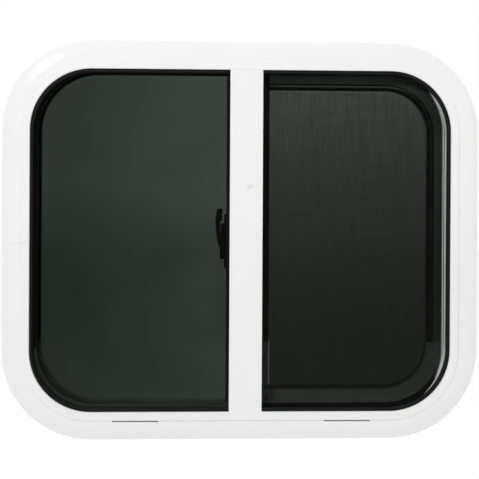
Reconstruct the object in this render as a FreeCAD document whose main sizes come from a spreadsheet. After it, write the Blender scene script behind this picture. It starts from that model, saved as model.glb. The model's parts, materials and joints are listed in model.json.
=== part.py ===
import FreeCAD, Part
import math
import os

import Sketcher

# A sliding window for a caravan wall. Millimetres, +Z up, the outdoor side faces -Y.
# The rear face of the flange lies at y = 0, against the wall's outer skin, and the origin is
# on that face, on the land beside the body, in the middle of the bottom flange.
# Insets are measured inwards from the flange's outer edge, all round the frame.

SIZES = [
    ("frame_width", 635.0, "overall width over the flange"),
    ("frame_height", 530.0, "overall height over the flange"),
    ("corner_radius", 119.0, "radius of the flange's outer corners"),
    ("seam_drop", 3.9, "butt joint of the bent frame, below the middle of the left jamb"),
    ("seam_gap", 0.2, "open width of that joint"),
    ("splice_height", 60.0, "joint piece inside the frame's chamber"),
    ("splice_wall", 2.0, "walls of the joint piece"),
    ("flange_edge", 1.3, "thickness of the flange at its outer edge"),
    ("flange_crown", 3.9, "thickness of the flange beside the lip"),
    ("crown_radius", 95.0, "radius of the crowned flange face"),
    ("flange_width", 26.2, "flange from its outer edge to the riser of the lip"),
    ("lip_width", 11.4, "flat lip between the riser and the opening"),
    ("lip_front", 5.5, "how far the lip's face stands in front of the wall"),
    ("lip_thickness", 1.8, "plate thickness of the lip"),
    ("lip_chamfer", 0.5, "broken edges of the lip"),
    ("land_width", 7.0, "flat land of the flange beside the body"),
    ("tape_groove_width", 8.0, "groove for sealing tape behind the flange"),
    ("tape_groove_depth", 1.2, "depth of the tape groove"),
    ("body_inset", 20.0, "flange edge to the outside of the body"),
    ("web_thickness", 1.6, "walls of the hollow body"),
    ("base_inset", 30.0, "flange edge to the back of the track floor"),
    ("fin_inset", 42.0, "flange edge to the free edge of the front fin"),
    ("rear_fin_inset", 38.6, "flange edge to the free edges of the middle and rear fins"),
    ("fin_thickness", 1.5, "thickness of the track fins"),
    ("sash_track_width", 14.0, "track in which the sliding pane runs"),
    ("screen_track_width", 8.0, "track in which the insect screen runs"),
    ("drain_length", 61.0, "drain slots at the foot of the lip"),
    ("drain_height", 2.4, "height of the drain slots"),
    ("drain_bite", 0.3, "how far the drain slots reach into the lip"),
    ("drain_left_centre", -140.0, "centre of the left drain slot"),
    ("drain_right_centre", 142.0, "centre of the right drain slot"),
    ("cut_margin", 1.0, "how far cutting outlines run past the metal"),
    ("seat_gap", 0.2, "small gap where soft and sliding pieces meet their seats"),
        ("wiper_reach", 4.4, "how far the rubber lip shows inside the white lip"),
    ("wiper_groove", 1.1, "width of the groove between the white lip and the rubber bead"),
    ("wiper_groove_depth", 1.3, "depth of that groove"),
    ("wiper_bead", 1.8, "width of the rubber bead's crest"),
    ("wiper_crest", 0.3, "crest of the bead, behind the front of the rubber"),
    ("wiper_side", 0.4, "slope of the bead's outer side"),
    ("wiper_slope", 2.0, "fall of the rubber lip's front at its tip"),
    ("wiper_tip", 1.0, "thickness of the rubber lip at its tip"),
    ("glass_thickness", 4.0, "tempered panes"),
    ("pane_cover", 2.5, "how far the fixed pane reaches behind the lip"),
    ("pane_end_inset", 45.4, "flange edge to the fixed pane's right edge"),
    ("pane_corner_ease", 1.0, "pane corners are this much tighter than the frame's bend there"),
    ("mullion_width", 43.7, "white bar between the panes"),
    ("mullion_offset", 6.0, "mullion's centre, right of the frame's centre"),
    ("mullion_wall", 1.6, "plate thickness of the mullion"),
    ("mullion_chamfer", 0.5, "broken front edges of the mullion"),
    ("mullion_leg", 3.2, "left leg behind the mullion's face"),
    ("mullion_short_leg", 2.2, "right leg, which ends at the pane's seal"),
    ("pocket_offset", 16.0, "left face of the mullion to its pane pocket"),
    ("pocket_leg", 8.0, "rear leg of the pane pocket"),
    ("cleat_reach", 3.6, "mullion cleats, past the fins' free edges"),
    ("pane_seal_cover", 4.0, "seal behind the mullion's right edge"),
    ("pane_seal_show", 0.9, "how far that seal shows beside the mullion"),
    ("joint_rise", 1.8, "black run and lining meet the sill pieces this far above the bends"),
    ("lining_wall", 0.8, "walls of the track lining"),
    ("lining_chamfer", 0.5, "front edge of the lining"),
    ("lining_to_sash", 0.6, "running clearance between the lining and the sliding pane"),
    ("stop_length", 26.3, "block between the sill lining and the mullion"),
    ("stop_height", 11.4, "height of that block"),
    ("run_wall", 1.4, "floor of the glass run"),
    ("run_to_sash", 0.5, "running clearance between the run's legs and the pane"),
    ("run_setback", 0.3, "run legs end this far behind the middle fin's free edge"),
    ("sash_offset", 2.6, "sliding pane behind the front fin"),
    ("sash_lift", 2.5, "lift-out play above and beside the sliding pane"),
    ("sash_corner_ease", 1.0, "sliding pane's corners are this much tighter than its run"),
    ("stile_left", -20.9, "left face of the meeting stile"),
    ("stile_width", 25.0, "width of the meeting stile"),
    ("stile_depth", 7.0, "depth of the meeting stile"),
    ("stile_nose", 9.0, "solid nose of the meeting stile, right of the pane's edge"),
    ("stile_chamfer", 0.7, "broken edges of the meeting stile"),
    ("stile_end_gap", 0.5, "meeting stile's caps to the lining's free edge"),
    ("cap_height", 3.5, "moulded end caps of the meeting stile"),
    ("glue_gap", 0.1, "glue line and press fits"),
    ("pile_width", 5.0, "brush seal on the meeting stile"),
    ("pile_offset", 7.5, "stile's left face to its brush seal"),
    ("latch_foot", 208.7, "latch's lower end above the origin"),
    ("latch_depth", 7.2, "latch body, from the stile into the room"),
    ("latch_width", 24.8, "latch body on the stile"),
    ("latch_corner", 3.0, "rounded corners of the latch body"),
    ("latch_tail", 3.2, "lower tail of the latch, left of the stile"),
    ("latch_tail_top", 12.3, "height of that tail"),
    ("latch_knuckle", 8.8, "thickest part of the latch, left of the stile"),
    ("latch_knuckle_top", 29.0, "height at which the knuckle ends"),
    ("latch_waist", 7.7, "latch body beside the lever, left of the stile"),
    ("latch_waist_top", 60.3, "height at which the waist ends"),
    ("latch_cheek", 2.9, "upper cheek, left of the stile"),
    ("latch_cheek_top", 73.2, "height of the upper cheek"),
    ("slot_thickness", 2.8, "slot in the latch body for the lever's ear"),
    ("slot_floor", 30.5, "height at which the ear slot begins"),
    ("slot_head", 48.5, "height at which the ear slot ends"),
    ("slot_reach", 8.0, "depth of the ear slot, inwards from the waist"),
    ("lever_depth", 6.0, "thickness of the lever's handle"),
    ("lever_gap", 0.9, "running gap between lever and body"),
    ("lever_foot_reach", 10.6, "lever's lower end, left of the stile"),
    ("lever_belly_reach", 14.9, "lever's widest point, left of the stile"),
    ("lever_head_reach", 12.8, "lever's upper end, left of the stile"),
    ("lever_belly_height", 66.9, "height of the lever's widest point"),
    ("lever_head_right", 5.9, "right side of the lever's head, left of the stile"),
    ("lever_head_low", 64.2, "height at which the lever's head begins"),
    ("lever_top", 80.7, "height of the lever's head"),
    ("lever_back_radius", 160.0, "curve of the lever's outer side"),
    ("lever_corner", 1.6, "rounded corners of the lever"),
    ("pin_radius", 1.3, "latch pin"),
    ("pin_inset", 4.5, "latch pin's centre, inwards from the waist"),
    ("pin_height", 41.3, "height of the latch pin"),
    ("bolt_radius", 1.8, "round bolt, which stops against the mullion's pane pocket"),
    ("bolt_throw", 5.0, "how far the bolt reaches outdoors past the meeting stile"),
    ("bolt_to_pocket", 0.3, "clearance between the bolt and the pane pocket"),
    ("thumb_bed_width", 7.0, "recess round the bolt's end in the latch body"),
    ("thumb_bed_height", 26.0, "height of that recess"),
    ("thumb_bed_depth", 1.6, "depth of that recess"),
    ("screen_depth", 6.0, "thickness of the screen frame"),
    ("screen_band", 26.0, "width of the screen frame's members"),
    ("screen_chamfer", 0.6, "broken edges of the screen frame"),
    ("screen_play", 2.0, "screen frame's outer edge to the track floor"),
    ("screen_stile_width", 20.0, "width of the screen's left stile"),
    ("screen_stile_right", 38.0, "inner edge of the screen's left stile"),
    ("screen_slot", 4.0, "depth of the slot that holds the mesh in the stile"),
    ("screen_corner_height", 16.0, "moulded corners at the ends of the screen's stile"),
    ("spline_width", 4.2, "rubber spline that holds the mesh"),
    ("spline_depth", 3.6, "depth of the spline groove"),
    ("mesh_thickness", 0.4, "insect mesh"),
    ("track_lining_wall", 0.6, "thin lining of the screen's track"),
    ("trim_thickness", 1.1, "black trim on the screen frame's outdoor face"),
    ("trim_step", 0.6, "height of the trim's ridges"),
    ("trim_margin", 4.1, "sunk inner margin of the trim"),
    ("trim_ridge", 2.4, "ridge beside that margin"),
    ("trim_groove", 2.2, "groove beside the ridge"),
    ("pull_width", 10.0, "finger pull on the screen's stile"),
    ("pull_height", 46.0, "height of the finger pull"),
    ("pull_depth", 3.4, "depth of the finger pull"),
    ("pull_corner", 3.0, "rounded corners of the finger pull"),
    ("pull_wall", 2.2, "rim of the finger pull"),
    ("pull_floor", 1.2, "floor of the finger pull"),
    ("ring_inset", 4.0, "outer edge of the clamping ring"),
    ("ring_thickness", 2.0, "plate of the clamping ring"),
    ("ring_turn", 1.2, "turned edge of the clamping ring"),
    ("ring_turn_wall", 1.5, "thickness of that turned edge"),
    ("ring_chamfer", 0.8, "broken inner edge of the clamping ring"),
    ("screw_inset", 25.8, "flange edge to the clamping screws"),
    ("screw_hole", 2.2, "radius of the holes in the clamping ring"),
    ("screw_spacing_across", 240.0, "spacing of the screws along head and sill"),
    ("screw_spacing_up", 180.0, "spacing of the screws along the jambs"),
]


class Length:
    """A number of millimetres together with the sheet formula that gives it."""

    def __init__(self, number, formula):
        self.number = number
        self.formula = formula

    def __add__(self, other):
        return Length(self.number + other.number, f"({self.formula} + {other.formula})")

    def __sub__(self, other):
        return Length(self.number - other.number, f"({self.formula} - {other.formula})")

    def __mul__(self, factor):
        return Length(self.number * factor, f"({self.formula} * {factor})")

    def __truediv__(self, divisor):
        return Length(self.number / divisor, f"({self.formula} / {divisor})")

    def __neg__(self):
        return Length(-self.number, f"(0 - {self.formula})")


doc = FreeCAD.newDocument("caravan_sliding_window")
sheet = doc.addObject("Spreadsheet::Sheet", "Sizes")
size = {}
for row, (alias, number, note) in enumerate(SIZES, start=1):
    sheet.set(f"A{row}", alias)
    sheet.set(f"B{row}", str(number))
    sheet.set(f"C{row}", note)
    sheet.setAlias(f"B{row}", alias)
    size[alias] = Length(number, f"Sizes.{alias}")
doc.recompute()

# Places that several pieces share.
zero = Length(0.0, "0")
gap = size["seat_gap"]
half_width = size["frame_width"] / 2
bottom_edge = size["land_width"] / 2 - size["body_inset"]
top_edge = bottom_edge + size["frame_height"]
middle_height = bottom_edge + size["frame_height"] / 2
seam_height = middle_height - size["seam_drop"]
opening_inset = size["flange_width"] + size["lip_width"]
lip_face = -size["lip_front"]
lip_back = lip_face + size["lip_thickness"]
chamber_front = lip_back + size["web_thickness"]
floor_inset = size["base_inset"] + size["web_thickness"]
seat_inset = floor_inset + gap
pane_front = zero
pane_back = pane_front + size["glass_thickness"]
front_fin_back = pane_back + size["fin_thickness"]
middle_fin_front = front_fin_back + size["sash_track_width"]
middle_fin_back = middle_fin_front + size["fin_thickness"]
rear_fin_front = middle_fin_back + size["screen_track_width"]
rear_fin_back = rear_fin_front + size["fin_thickness"]
sash_front = front_fin_back + size["sash_offset"]
sash_back = sash_front + size["glass_thickness"]
stile_front = sash_front - (size["stile_depth"] - size["glass_thickness"]) / 2
stile_back = stile_front + size["stile_depth"]
stile_right = size["stile_left"] + size["stile_width"]
screen_front = middle_fin_back + size["screen_track_width"] / 2 - size["screen_depth"] / 2
screen_back = screen_front + size["screen_depth"]
screen_outer = floor_inset + size["screen_play"]
screen_inner = screen_outer + size["screen_band"]
mesh_back = screen_front + size["spline_depth"]
mesh_front = mesh_back - size["mesh_thickness"]
mullion_left = size["mullion_offset"] - size["mullion_width"] / 2
mullion_right = size["mullion_offset"] + size["mullion_width"] / 2
mullion_back = lip_face + size["mullion_wall"]
pocket_left = mullion_left + size["pocket_offset"]
pocket_back = pane_back + size["mullion_wall"]
wiper_trim = size["wiper_reach"] + gap
lining_edge = size["fin_inset"] + gap + size["lining_wall"]
stile_end = lining_edge + size["stile_end_gap"]
jamb_joint = bottom_edge + size["corner_radius"] + size["joint_rise"]


def left_at(inset):
    return inset - half_width


def right_at(inset):
    return half_width - inset


def bottom_at(inset):
    return bottom_edge + inset


def top_at(inset):
    return top_edge - inset


def corner_at(inset):
    return size["corner_radius"] - inset


# Sketches: every corner is placed by two bound distances, every bend by a bound radius.

class Corner:
    """One corner of an outline; round_by rounds it, bulge makes the next edge an arc."""

    def __init__(self, across, along, round_by=None, bulge=None):
        self.across = across
        self.along = along
        self.round_by = round_by
        self.bulge = bulge

    @property
    def point(self):
        return FreeCAD.Vector(self.across.number, self.along.number, 0)


def origin_plane(body, role):
    return next(plane for plane in body.Origin.OriginFeatures if plane.Role == role)


def new_sketch(body, name, role, offset=None):
    sketch = body.newObject("Sketcher::SketchObject", f"{body.Name}_{name}")
    sketch.AttachmentSupport = [(origin_plane(body, role), "")]
    sketch.MapMode = "FlatFace"
    if offset is not None:
        sketch.AttachmentOffset = FreeCAD.Placement(
            FreeCAD.Vector(0, 0, offset.number), FreeCAD.Rotation())
        sketch.setExpression("AttachmentOffset.Base.z", offset.formula)
    return sketch


def bind(sketch, constraint, length):
    index = sketch.addConstraint(constraint)
    name = f"size_{index}"
    sketch.renameConstraint(index, name)
    sketch.setExpression(f"Constraints.{name}", length.formula)


def fix_point(sketch, geometry, position, corner):
    bind(sketch, Sketcher.Constraint(
        "DistanceX", -1, 1, geometry, position, corner.across.number), corner.across)
    bind(sketch, Sketcher.Constraint(
        "DistanceY", -1, 1, geometry, position, corner.along.number), corner.along)


def bend_points(before, corner, after):
    """Where a rounded corner's arc begins and ends, and the arc's middle."""
    radius = corner.round_by.number
    back = (before.point - corner.point).normalize()
    ahead = (after.point - corner.point).normalize()
    half_angle = math.acos(max(-1.0, min(1.0, back.dot(ahead)))) / 2
    setback = radius / math.tan(half_angle)
    bisector = (back + ahead).normalize()
    centre = corner.point + bisector * (radius / math.sin(half_angle))
    return (
        corner.point + back * setback,
        centre - bisector * radius,
        corner.point + ahead * setback,
    )


def turning_left(start, middle, end):
    """The arc through three points, always drawn anticlockwise."""
    if (middle - start).cross(end - middle).z < 0:
        return Part.Arc(end, middle, start)
    return Part.Arc(start, middle, end)


def bulging_edge(start, end, bulge):
    """An arc from start to end; a negative bulge bends it to the right."""
    chord = end - start
    radius = abs(bulge.number)
    rise = radius - math.sqrt(radius * radius - (chord.Length / 2) ** 2)
    side = FreeCAD.Vector(-chord.y, chord.x, 0).normalize()
    if bulge.number < 0:
        side = -side
    return turning_left(start, (start + end) * 0.5 + side * rise, end)


def end_at(sketch, geometry, point):
    """Which end of an edge lies at point: 1 for its start, 2 for its end."""
    to_start = (sketch.Geometry[geometry].StartPoint - point).Length
    to_end = (sketch.Geometry[geometry].EndPoint - point).Length
    return 1 if to_start <= to_end else 2


def draw(sketch, corners, closed=True):
    """An outline through corners, fully placed; open when it is a path."""
    count = len(corners)
    starts = [corner.point for corner in corners]
    ends = [corner.point for corner in corners]
    middles = [None] * count
    for index, corner in enumerate(corners):
        if corner.round_by is not None:
            before = corners[index - 1]
            after = corners[(index + 1) % count]
            ends[index], middles[index], starts[index] = bend_points(before, corner, after)
    edge_count = count if closed else count - 1
    edges = []
    for index in range(edge_count):
        start = starts[index]
        end = ends[(index + 1) % count]
        bulge = corners[index].bulge
        shape = Part.LineSegment(start, end) if bulge is None else bulging_edge(start, end, bulge)
        edges.append(sketch.addGeometry(shape, False))
    bends = {}
    for index, middle in enumerate(middles):
        if middle is not None:
            bend = turning_left(ends[index], middle, starts[index])
            bends[index] = sketch.addGeometry(bend, False)
    for index, corner in enumerate(corners):
        arriving = edges[index - 1] if closed or index > 0 else None
        leaving = edges[index] if index < edge_count else None
        if corner.round_by is not None:
            bend = bends[index]
            knee = sketch.addGeometry(Part.Point(corner.point), True)
            fix_point(sketch, knee, 1, corner)
            sketch.addConstraint(Sketcher.Constraint("PointOnObject", knee, 1, arriving))
            sketch.addConstraint(Sketcher.Constraint("PointOnObject", knee, 1, leaving))
            for edge, touch in ((arriving, ends[index]), (leaving, starts[index])):
                sketch.addConstraint(Sketcher.Constraint(
                    "Tangent", edge, end_at(sketch, edge, touch),
                    bend, end_at(sketch, bend, touch)))
            bind(sketch, Sketcher.Constraint("Radius", bend, corner.round_by.number),
                 corner.round_by)
        elif leaving is None:
            fix_point(sketch, arriving, end_at(sketch, arriving, corner.point), corner)
        else:
            fix_point(sketch, leaving, end_at(sketch, leaving, corner.point), corner)
            if arriving is not None:
                sketch.addConstraint(Sketcher.Constraint(
                    "Coincident", arriving, end_at(sketch, arriving, corner.point),
                    leaving, end_at(sketch, leaving, corner.point)))
    for index in range(edge_count):
        bulge = corners[index].bulge
        if bulge is not None:
            reach = bulge if bulge.number > 0 else -bulge
            bind(sketch, Sketcher.Constraint("Radius", edges[index], reach.number), reach)


def draw_circle(sketch, across, along, radius):
    centre = Corner(across, along)
    circle = sketch.addGeometry(
        Part.Circle(centre.point, FreeCAD.Vector(0, 0, 1), radius.number), False)
    bind(sketch, Sketcher.Constraint("Radius", circle, radius.number), radius)
    # Point 3 of a circle is its centre.
    fix_point(sketch, circle, 3, centre)


def box_outline(left, front, right, back):
    return [Corner(left, front), Corner(right, front), Corner(right, back), Corner(left, back)]


# Builders that several pieces share.

def ring_path(inset):
    """The whole rounded rectangle, from the left jamb's joint up and round to it again."""
    radius = corner_at(inset)
    half_joint = size["seam_gap"] / 2
    return [
        Corner(left_at(inset), seam_height + half_joint),
        Corner(left_at(inset), top_at(inset), radius),
        Corner(right_at(inset), top_at(inset), radius),
        Corner(right_at(inset), bottom_at(inset), radius),
        Corner(left_at(inset), bottom_at(inset), radius),
        Corner(left_at(inset), seam_height - half_joint),
    ]


def bent_bar(label, path, plane, start, outlines):
    """A profile drawn across the first leg of a path, at start, and swept along it."""
    body = doc.addObject("PartDesign::Body", label)
    route = new_sketch(body, "path", "XZ_Plane")
    draw(route, path, closed=False)
    profile = new_sketch(body, "profile", plane, start)
    for outline in outlines:
        draw(profile, outline)
    doc.recompute()
    sweep = body.newObject("PartDesign::AdditivePipe", f"{label}_sweep")
    sweep.Profile = profile
    sweep.Spine = (route, [])
    doc.recompute()
    return body


def bent_ring(label, inset, outlines):
    start = seam_height + size["seam_gap"] / 2
    return bent_bar(label, ring_path(inset), "XY_Plane", start, outlines)


def extrude(body, sketch, length, name, indoors=False):
    pad = body.newObject("PartDesign::Pad", f"{body.Name}_{name}")
    pad.Profile = sketch
    pad.Length = length.number
    pad.setExpression("Length", length.formula)
    pad.Reversed = indoors
    doc.recompute()


def add_across(body, name, outlines, front, depth):
    """Outlines seen from outdoors, with the thickness running indoors from front."""
    sketch = new_sketch(body, name, "XZ_Plane", -front)
    for outline in outlines:
        draw(sketch, outline)
    extrude(body, sketch, depth, f"{name}_pad", indoors=True)


def pad_across(label, outlines, front, depth):
    body = doc.addObject("PartDesign::Body", label)
    add_across(body, "outline", outlines, front, depth)
    return body


def pad_up(label, outlines, foot, height):
    """A plan profile padded upwards from foot."""
    body = doc.addObject("PartDesign::Body", label)
    sketch = new_sketch(body, "profile", "XY_Plane", foot)
    for outline in outlines:
        draw(sketch, outline)
    extrude(body, sketch, height, "pad")
    return body


def pocket(body, sketch, name, depth):
    cut = body.newObject("PartDesign::Pocket", f"{body.Name}_{name}_cut")
    cut.Profile = sketch
    cut.Length = depth.number
    cut.setExpression("Length", depth.formula)
    doc.recompute()


def cut_across(body, name, outlines, front, depth):
    """Outlines seen from outdoors, cut indoors from front."""
    sketch = new_sketch(body, name, "XZ_Plane", -front)
    for outline in outlines:
        draw(sketch, outline)
    pocket(body, sketch, name, depth)


def drill(body, name, centres, radius, front, depth):
    """Round holes running indoors from front."""
    sketch = new_sketch(body, name, "XZ_Plane", -front)
    for across, along in centres:
        draw_circle(sketch, across, along, radius)
    pocket(body, sketch, name, depth)


def plain_box(label, left, front, foot, right, back, head):
    """A plain block between two corners."""
    box = doc.addObject("Part::Box", label)
    for name, length in (("Length", right - left), ("Width", back - front), ("Height", head - foot)):
        setattr(box, name, length.number)
        box.setExpression(name, length.formula)
    box.Placement = FreeCAD.Placement(
        FreeCAD.Vector(left.number, front.number, foot.number), FreeCAD.Rotation())
    box.setExpression("Placement.Base.x", left.formula)
    box.setExpression("Placement.Base.y", front.formula)
    box.setExpression("Placement.Base.z", foot.formula)
    return box


# Outer frame: one hollow extrusion, bent round the corners and butted on the left jamb.

def outer_frame():
    outer = left_at(zero)
    body_left = left_at(size["body_inset"])
    floor = left_at(floor_inset)
    front_edge = left_at(size["fin_inset"])
    rear_edge = left_at(size["rear_fin_inset"])
    riser = left_at(size["flange_width"])
    lip_edge = left_at(opening_inset)
    chamfer = size["lip_chamfer"]
    groove_right = left_at(size["body_inset"] - size["land_width"])
    groove_left = groove_right - size["tape_groove_width"]
    outline = [
        Corner(outer, zero),
        Corner(outer, -size["flange_edge"], bulge=-size["crown_radius"]),
        Corner(riser, -size["flange_crown"]),
        Corner(riser, lip_face + chamfer),
        Corner(riser + chamfer, lip_face),
        Corner(lip_edge - chamfer, lip_face),
        Corner(lip_edge, lip_face + chamfer),
        Corner(lip_edge, lip_back),
        Corner(floor, lip_back),
        Corner(floor, pane_back),
        Corner(front_edge, pane_back),
        Corner(front_edge, front_fin_back),
        Corner(floor, front_fin_back),
        Corner(floor, middle_fin_front),
        Corner(rear_edge, middle_fin_front),
        Corner(rear_edge, middle_fin_back),
        Corner(floor, middle_fin_back),
        Corner(floor, rear_fin_front),
        Corner(rear_edge, rear_fin_front),
        Corner(rear_edge, rear_fin_back),
        Corner(body_left, rear_fin_back),
        Corner(body_left, zero),
        Corner(groove_right, zero),
        Corner(groove_right, -size["tape_groove_depth"]),
        Corner(groove_left, -size["tape_groove_depth"]),
        Corner(groove_left, zero),
    ]
    chamber = box_outline(
        body_left + size["web_thickness"], chamber_front, left_at(size["base_inset"]), rear_fin_front)
    body = bent_ring("outer_frame", zero, [outline, chamber])
    drains = []
    drain_head = bottom_at(size["flange_width"]) + size["drain_bite"]
    drain_foot = bottom_at(size["flange_width"]) - size["drain_height"]
    for centre in (size["drain_left_centre"], size["drain_right_centre"]):
        half_length = size["drain_length"] / 2
        drains.append(box_outline(
            centre - half_length, drain_foot, centre + half_length, drain_head))
    drain_depth = chamber_front - lip_face + size["cut_margin"] + size["seam_gap"]
    cut_across(body, "drains", drains, lip_face - size["cut_margin"], drain_depth)


def frame_splice():
    """Channel inside the chamber that ties the two ends of the bent frame."""
    wall = size["splice_wall"]
    left = left_at(size["body_inset"] + size["web_thickness"]) + gap
    right = left_at(size["base_inset"]) - gap
    front = chamber_front + gap
    back = rear_fin_front - gap
    channel = [
        Corner(left, front),
        Corner(right, front),
        Corner(right, front + wall),
        Corner(left + wall, front + wall),
        Corner(left + wall, back - wall),
        Corner(right, back - wall),
        Corner(right, back),
        Corner(left, back),
    ]
    foot = seam_height - size["splice_height"] / 2
    pad_up("frame_splice", [channel], foot, size["splice_height"])


# Rubber wiper behind the lip, all round the opening.

def wiper_gasket():
    root = left_at(seat_inset)
    lip_edge = left_at(opening_inset)
    groove_end = lip_edge + size["wiper_groove"]
    crest = groove_end + size["wiper_side"]
    tip = left_at(opening_inset + size["wiper_reach"])
    tip_front = lip_back + size["wiper_slope"]
    outline = [
        Corner(root, lip_back),
        Corner(lip_edge, lip_back),
        Corner(lip_edge, lip_back + size["wiper_groove_depth"]),
        Corner(groove_end, lip_back + size["wiper_groove_depth"]),
        Corner(crest, lip_back + size["wiper_crest"]),
        Corner(crest + size["wiper_bead"], lip_back + size["wiper_crest"]),
        Corner(tip, tip_front),
        Corner(tip, tip_front + size["wiper_tip"]),
        Corner(root, pane_front - gap),
    ]
    bent_ring("wiper_gasket", seat_inset, [outline])


# Pieces of the front track.

def fixed_pane():
    inset = opening_inset - size["pane_cover"]
    left = pocket_left + size["mullion_wall"] + gap
    right = right_at(size["pane_end_inset"])
    radius = corner_at(inset) - size["pane_corner_ease"]
    outline = [
        Corner(left, bottom_at(inset)),
        Corner(right, bottom_at(inset), radius),
        Corner(right, top_at(inset), radius),
        Corner(left, top_at(inset)),
    ]
    pad_across("fixed_pane", [outline], pane_front, size["glass_thickness"])


def lining_outline():
    """J-shaped lining that covers the empty front track beside the sliding pane."""
    wall = size["lining_wall"]
    chamfer = size["lining_chamfer"]
    floor = left_at(seat_inset)
    inner = left_at(size["fin_inset"]) + gap
    outer = inner + wall
    front = pane_back - gap - wall
    back = sash_front - size["lining_to_sash"]
    return [
        Corner(floor, front),
        Corner(outer - chamfer, front),
        Corner(outer, front + chamfer),
        Corner(outer, back),
        Corner(inner, back),
        Corner(inner, front + wall),
        Corner(floor, front + wall),
    ]


def left_head_lining():
    path = [
        Corner(left_at(seat_inset), jamb_joint),
        Corner(left_at(seat_inset), top_at(seat_inset), corner_at(seat_inset)),
        Corner(mullion_left, top_at(seat_inset)),
    ]
    bent_bar("left_head_lining", path, "XY_Plane", jamb_joint, [lining_outline()])


def left_sill_lining():
    start = jamb_joint - gap
    path = [
        Corner(left_at(seat_inset), start),
        Corner(left_at(seat_inset), bottom_at(seat_inset), corner_at(seat_inset)),
        Corner(mullion_left - size["stop_length"], bottom_at(seat_inset)),
    ]
    bent_bar("left_sill_lining", path, "XY_Plane", start, [lining_outline()])


def sash_stop():
    """Block that closes the front track between the sill lining and the mullion."""
    foot = bottom_at(seat_inset)
    plain_box(
        "sash_stop", mullion_left - size["stop_length"] + gap, pane_front, foot,
        mullion_left, pane_back - gap, foot + size["stop_height"])


def run_outline():
    """U-shaped run with thick legs, in the track of the sliding pane."""
    floor = left_at(seat_inset)
    bed = floor + size["run_wall"]
    edge = left_at(size["rear_fin_inset"] - size["run_setback"])
    front = front_fin_back + gap
    back = middle_fin_front - gap
    near_leg = sash_front - size["run_to_sash"]
    far_leg = sash_back + size["run_to_sash"]
    return [
        Corner(floor, front),
        Corner(edge, front),
        Corner(edge, near_leg),
        Corner(bed, near_leg),
        Corner(bed, far_leg),
        Corner(edge, far_leg),
        Corner(edge, back),
        Corner(floor, back),
    ]


def run_path(joint, far_height):
    """From the left jamb's joint, round by the head or the sill, to the right jamb's joint."""
    radius = corner_at(seat_inset)
    return [
        Corner(left_at(seat_inset), joint),
        Corner(left_at(seat_inset), far_height, radius),
        Corner(right_at(seat_inset), far_height, radius),
        Corner(right_at(seat_inset), joint),
    ]


def glass_run_head():
    path = run_path(jamb_joint, top_at(seat_inset))
    bent_bar("glass_run_head", path, "XY_Plane", jamb_joint, [run_outline()])


def glass_run_sill():
    start = jamb_joint - gap
    path = run_path(start, bottom_at(seat_inset))
    bent_bar("glass_run_sill", path, "XY_Plane", start, [run_outline()])


# Mullion: an extruded bar, flush with the lip, with a pocket for the fixed pane's free edge.

def mullion():
    wall = size["mullion_wall"]
    chamfer = size["mullion_chamfer"]
    leg_back = mullion_back + size["mullion_leg"]
    short_back = mullion_back + size["mullion_short_leg"]
    outline = [
        Corner(mullion_left + chamfer, lip_face),
        Corner(mullion_right - chamfer, lip_face),
        Corner(mullion_right, lip_face + chamfer),
        Corner(mullion_right, short_back),
        Corner(mullion_right - wall, short_back),
        Corner(mullion_right - wall, mullion_back),
        Corner(pocket_left + wall, mullion_back),
        Corner(pocket_left + wall, pane_back),
        Corner(pocket_left + size["pocket_leg"], pane_back),
        Corner(pocket_left + size["pocket_leg"], pocket_back),
        Corner(pocket_left, pocket_back),
        Corner(pocket_left, mullion_back),
        Corner(mullion_left + wall, mullion_back),
        Corner(mullion_left + wall, leg_back),
        Corner(mullion_left, leg_back),
        Corner(mullion_left, lip_face + chamfer),
    ]
    foot = bottom_at(opening_inset)
    head = top_at(opening_inset)
    body = pad_up("mullion", [outline], foot, head - foot)
    margin = size["cut_margin"]
    ends = [
        box_outline(mullion_left - margin, low, mullion_right + margin, high)
        for low, high in ((foot - margin, foot + wiper_trim), (head - wiper_trim, head + margin))
    ]
    cut_across(body, "wiper_notches", ends, mullion_back, pocket_back - mullion_back + margin)


def mullion_cleat(label, low, high):
    """Block that ties the mullion's end to the frame behind the lip."""
    left = mullion_left + size["mullion_wall"] + gap
    plain_box(label, left, pane_front, low, pocket_left - gap, pane_back, high)


def mullion_seal():
    left = mullion_right - size["pane_seal_cover"]
    right = mullion_right + size["pane_seal_show"]
    front = mullion_back + size["mullion_short_leg"] + size["glue_gap"]
    foot = bottom_at(opening_inset) + wiper_trim
    head = top_at(opening_inset) - wiper_trim
    plain_box("mullion_seal", left, front, foot, right, pane_front - size["glue_gap"], head)


# Sliding pane and its meeting stile.

def sash_pane():
    side_inset = floor_inset + size["run_wall"] + size["sash_lift"]
    foot = bottom_at(seat_inset + size["run_wall"] + gap)
    radius = corner_at(side_inset) - size["sash_corner_ease"]
    right = stile_right - size["stile_nose"] - size["glue_gap"]
    outline = [
        Corner(right, foot),
        Corner(right, top_at(side_inset)),
        Corner(left_at(side_inset), top_at(side_inset), radius),
        Corner(left_at(side_inset), foot, radius),
    ]
    pad_across("sash_pane", [outline], sash_front, size["glass_thickness"])


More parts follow.
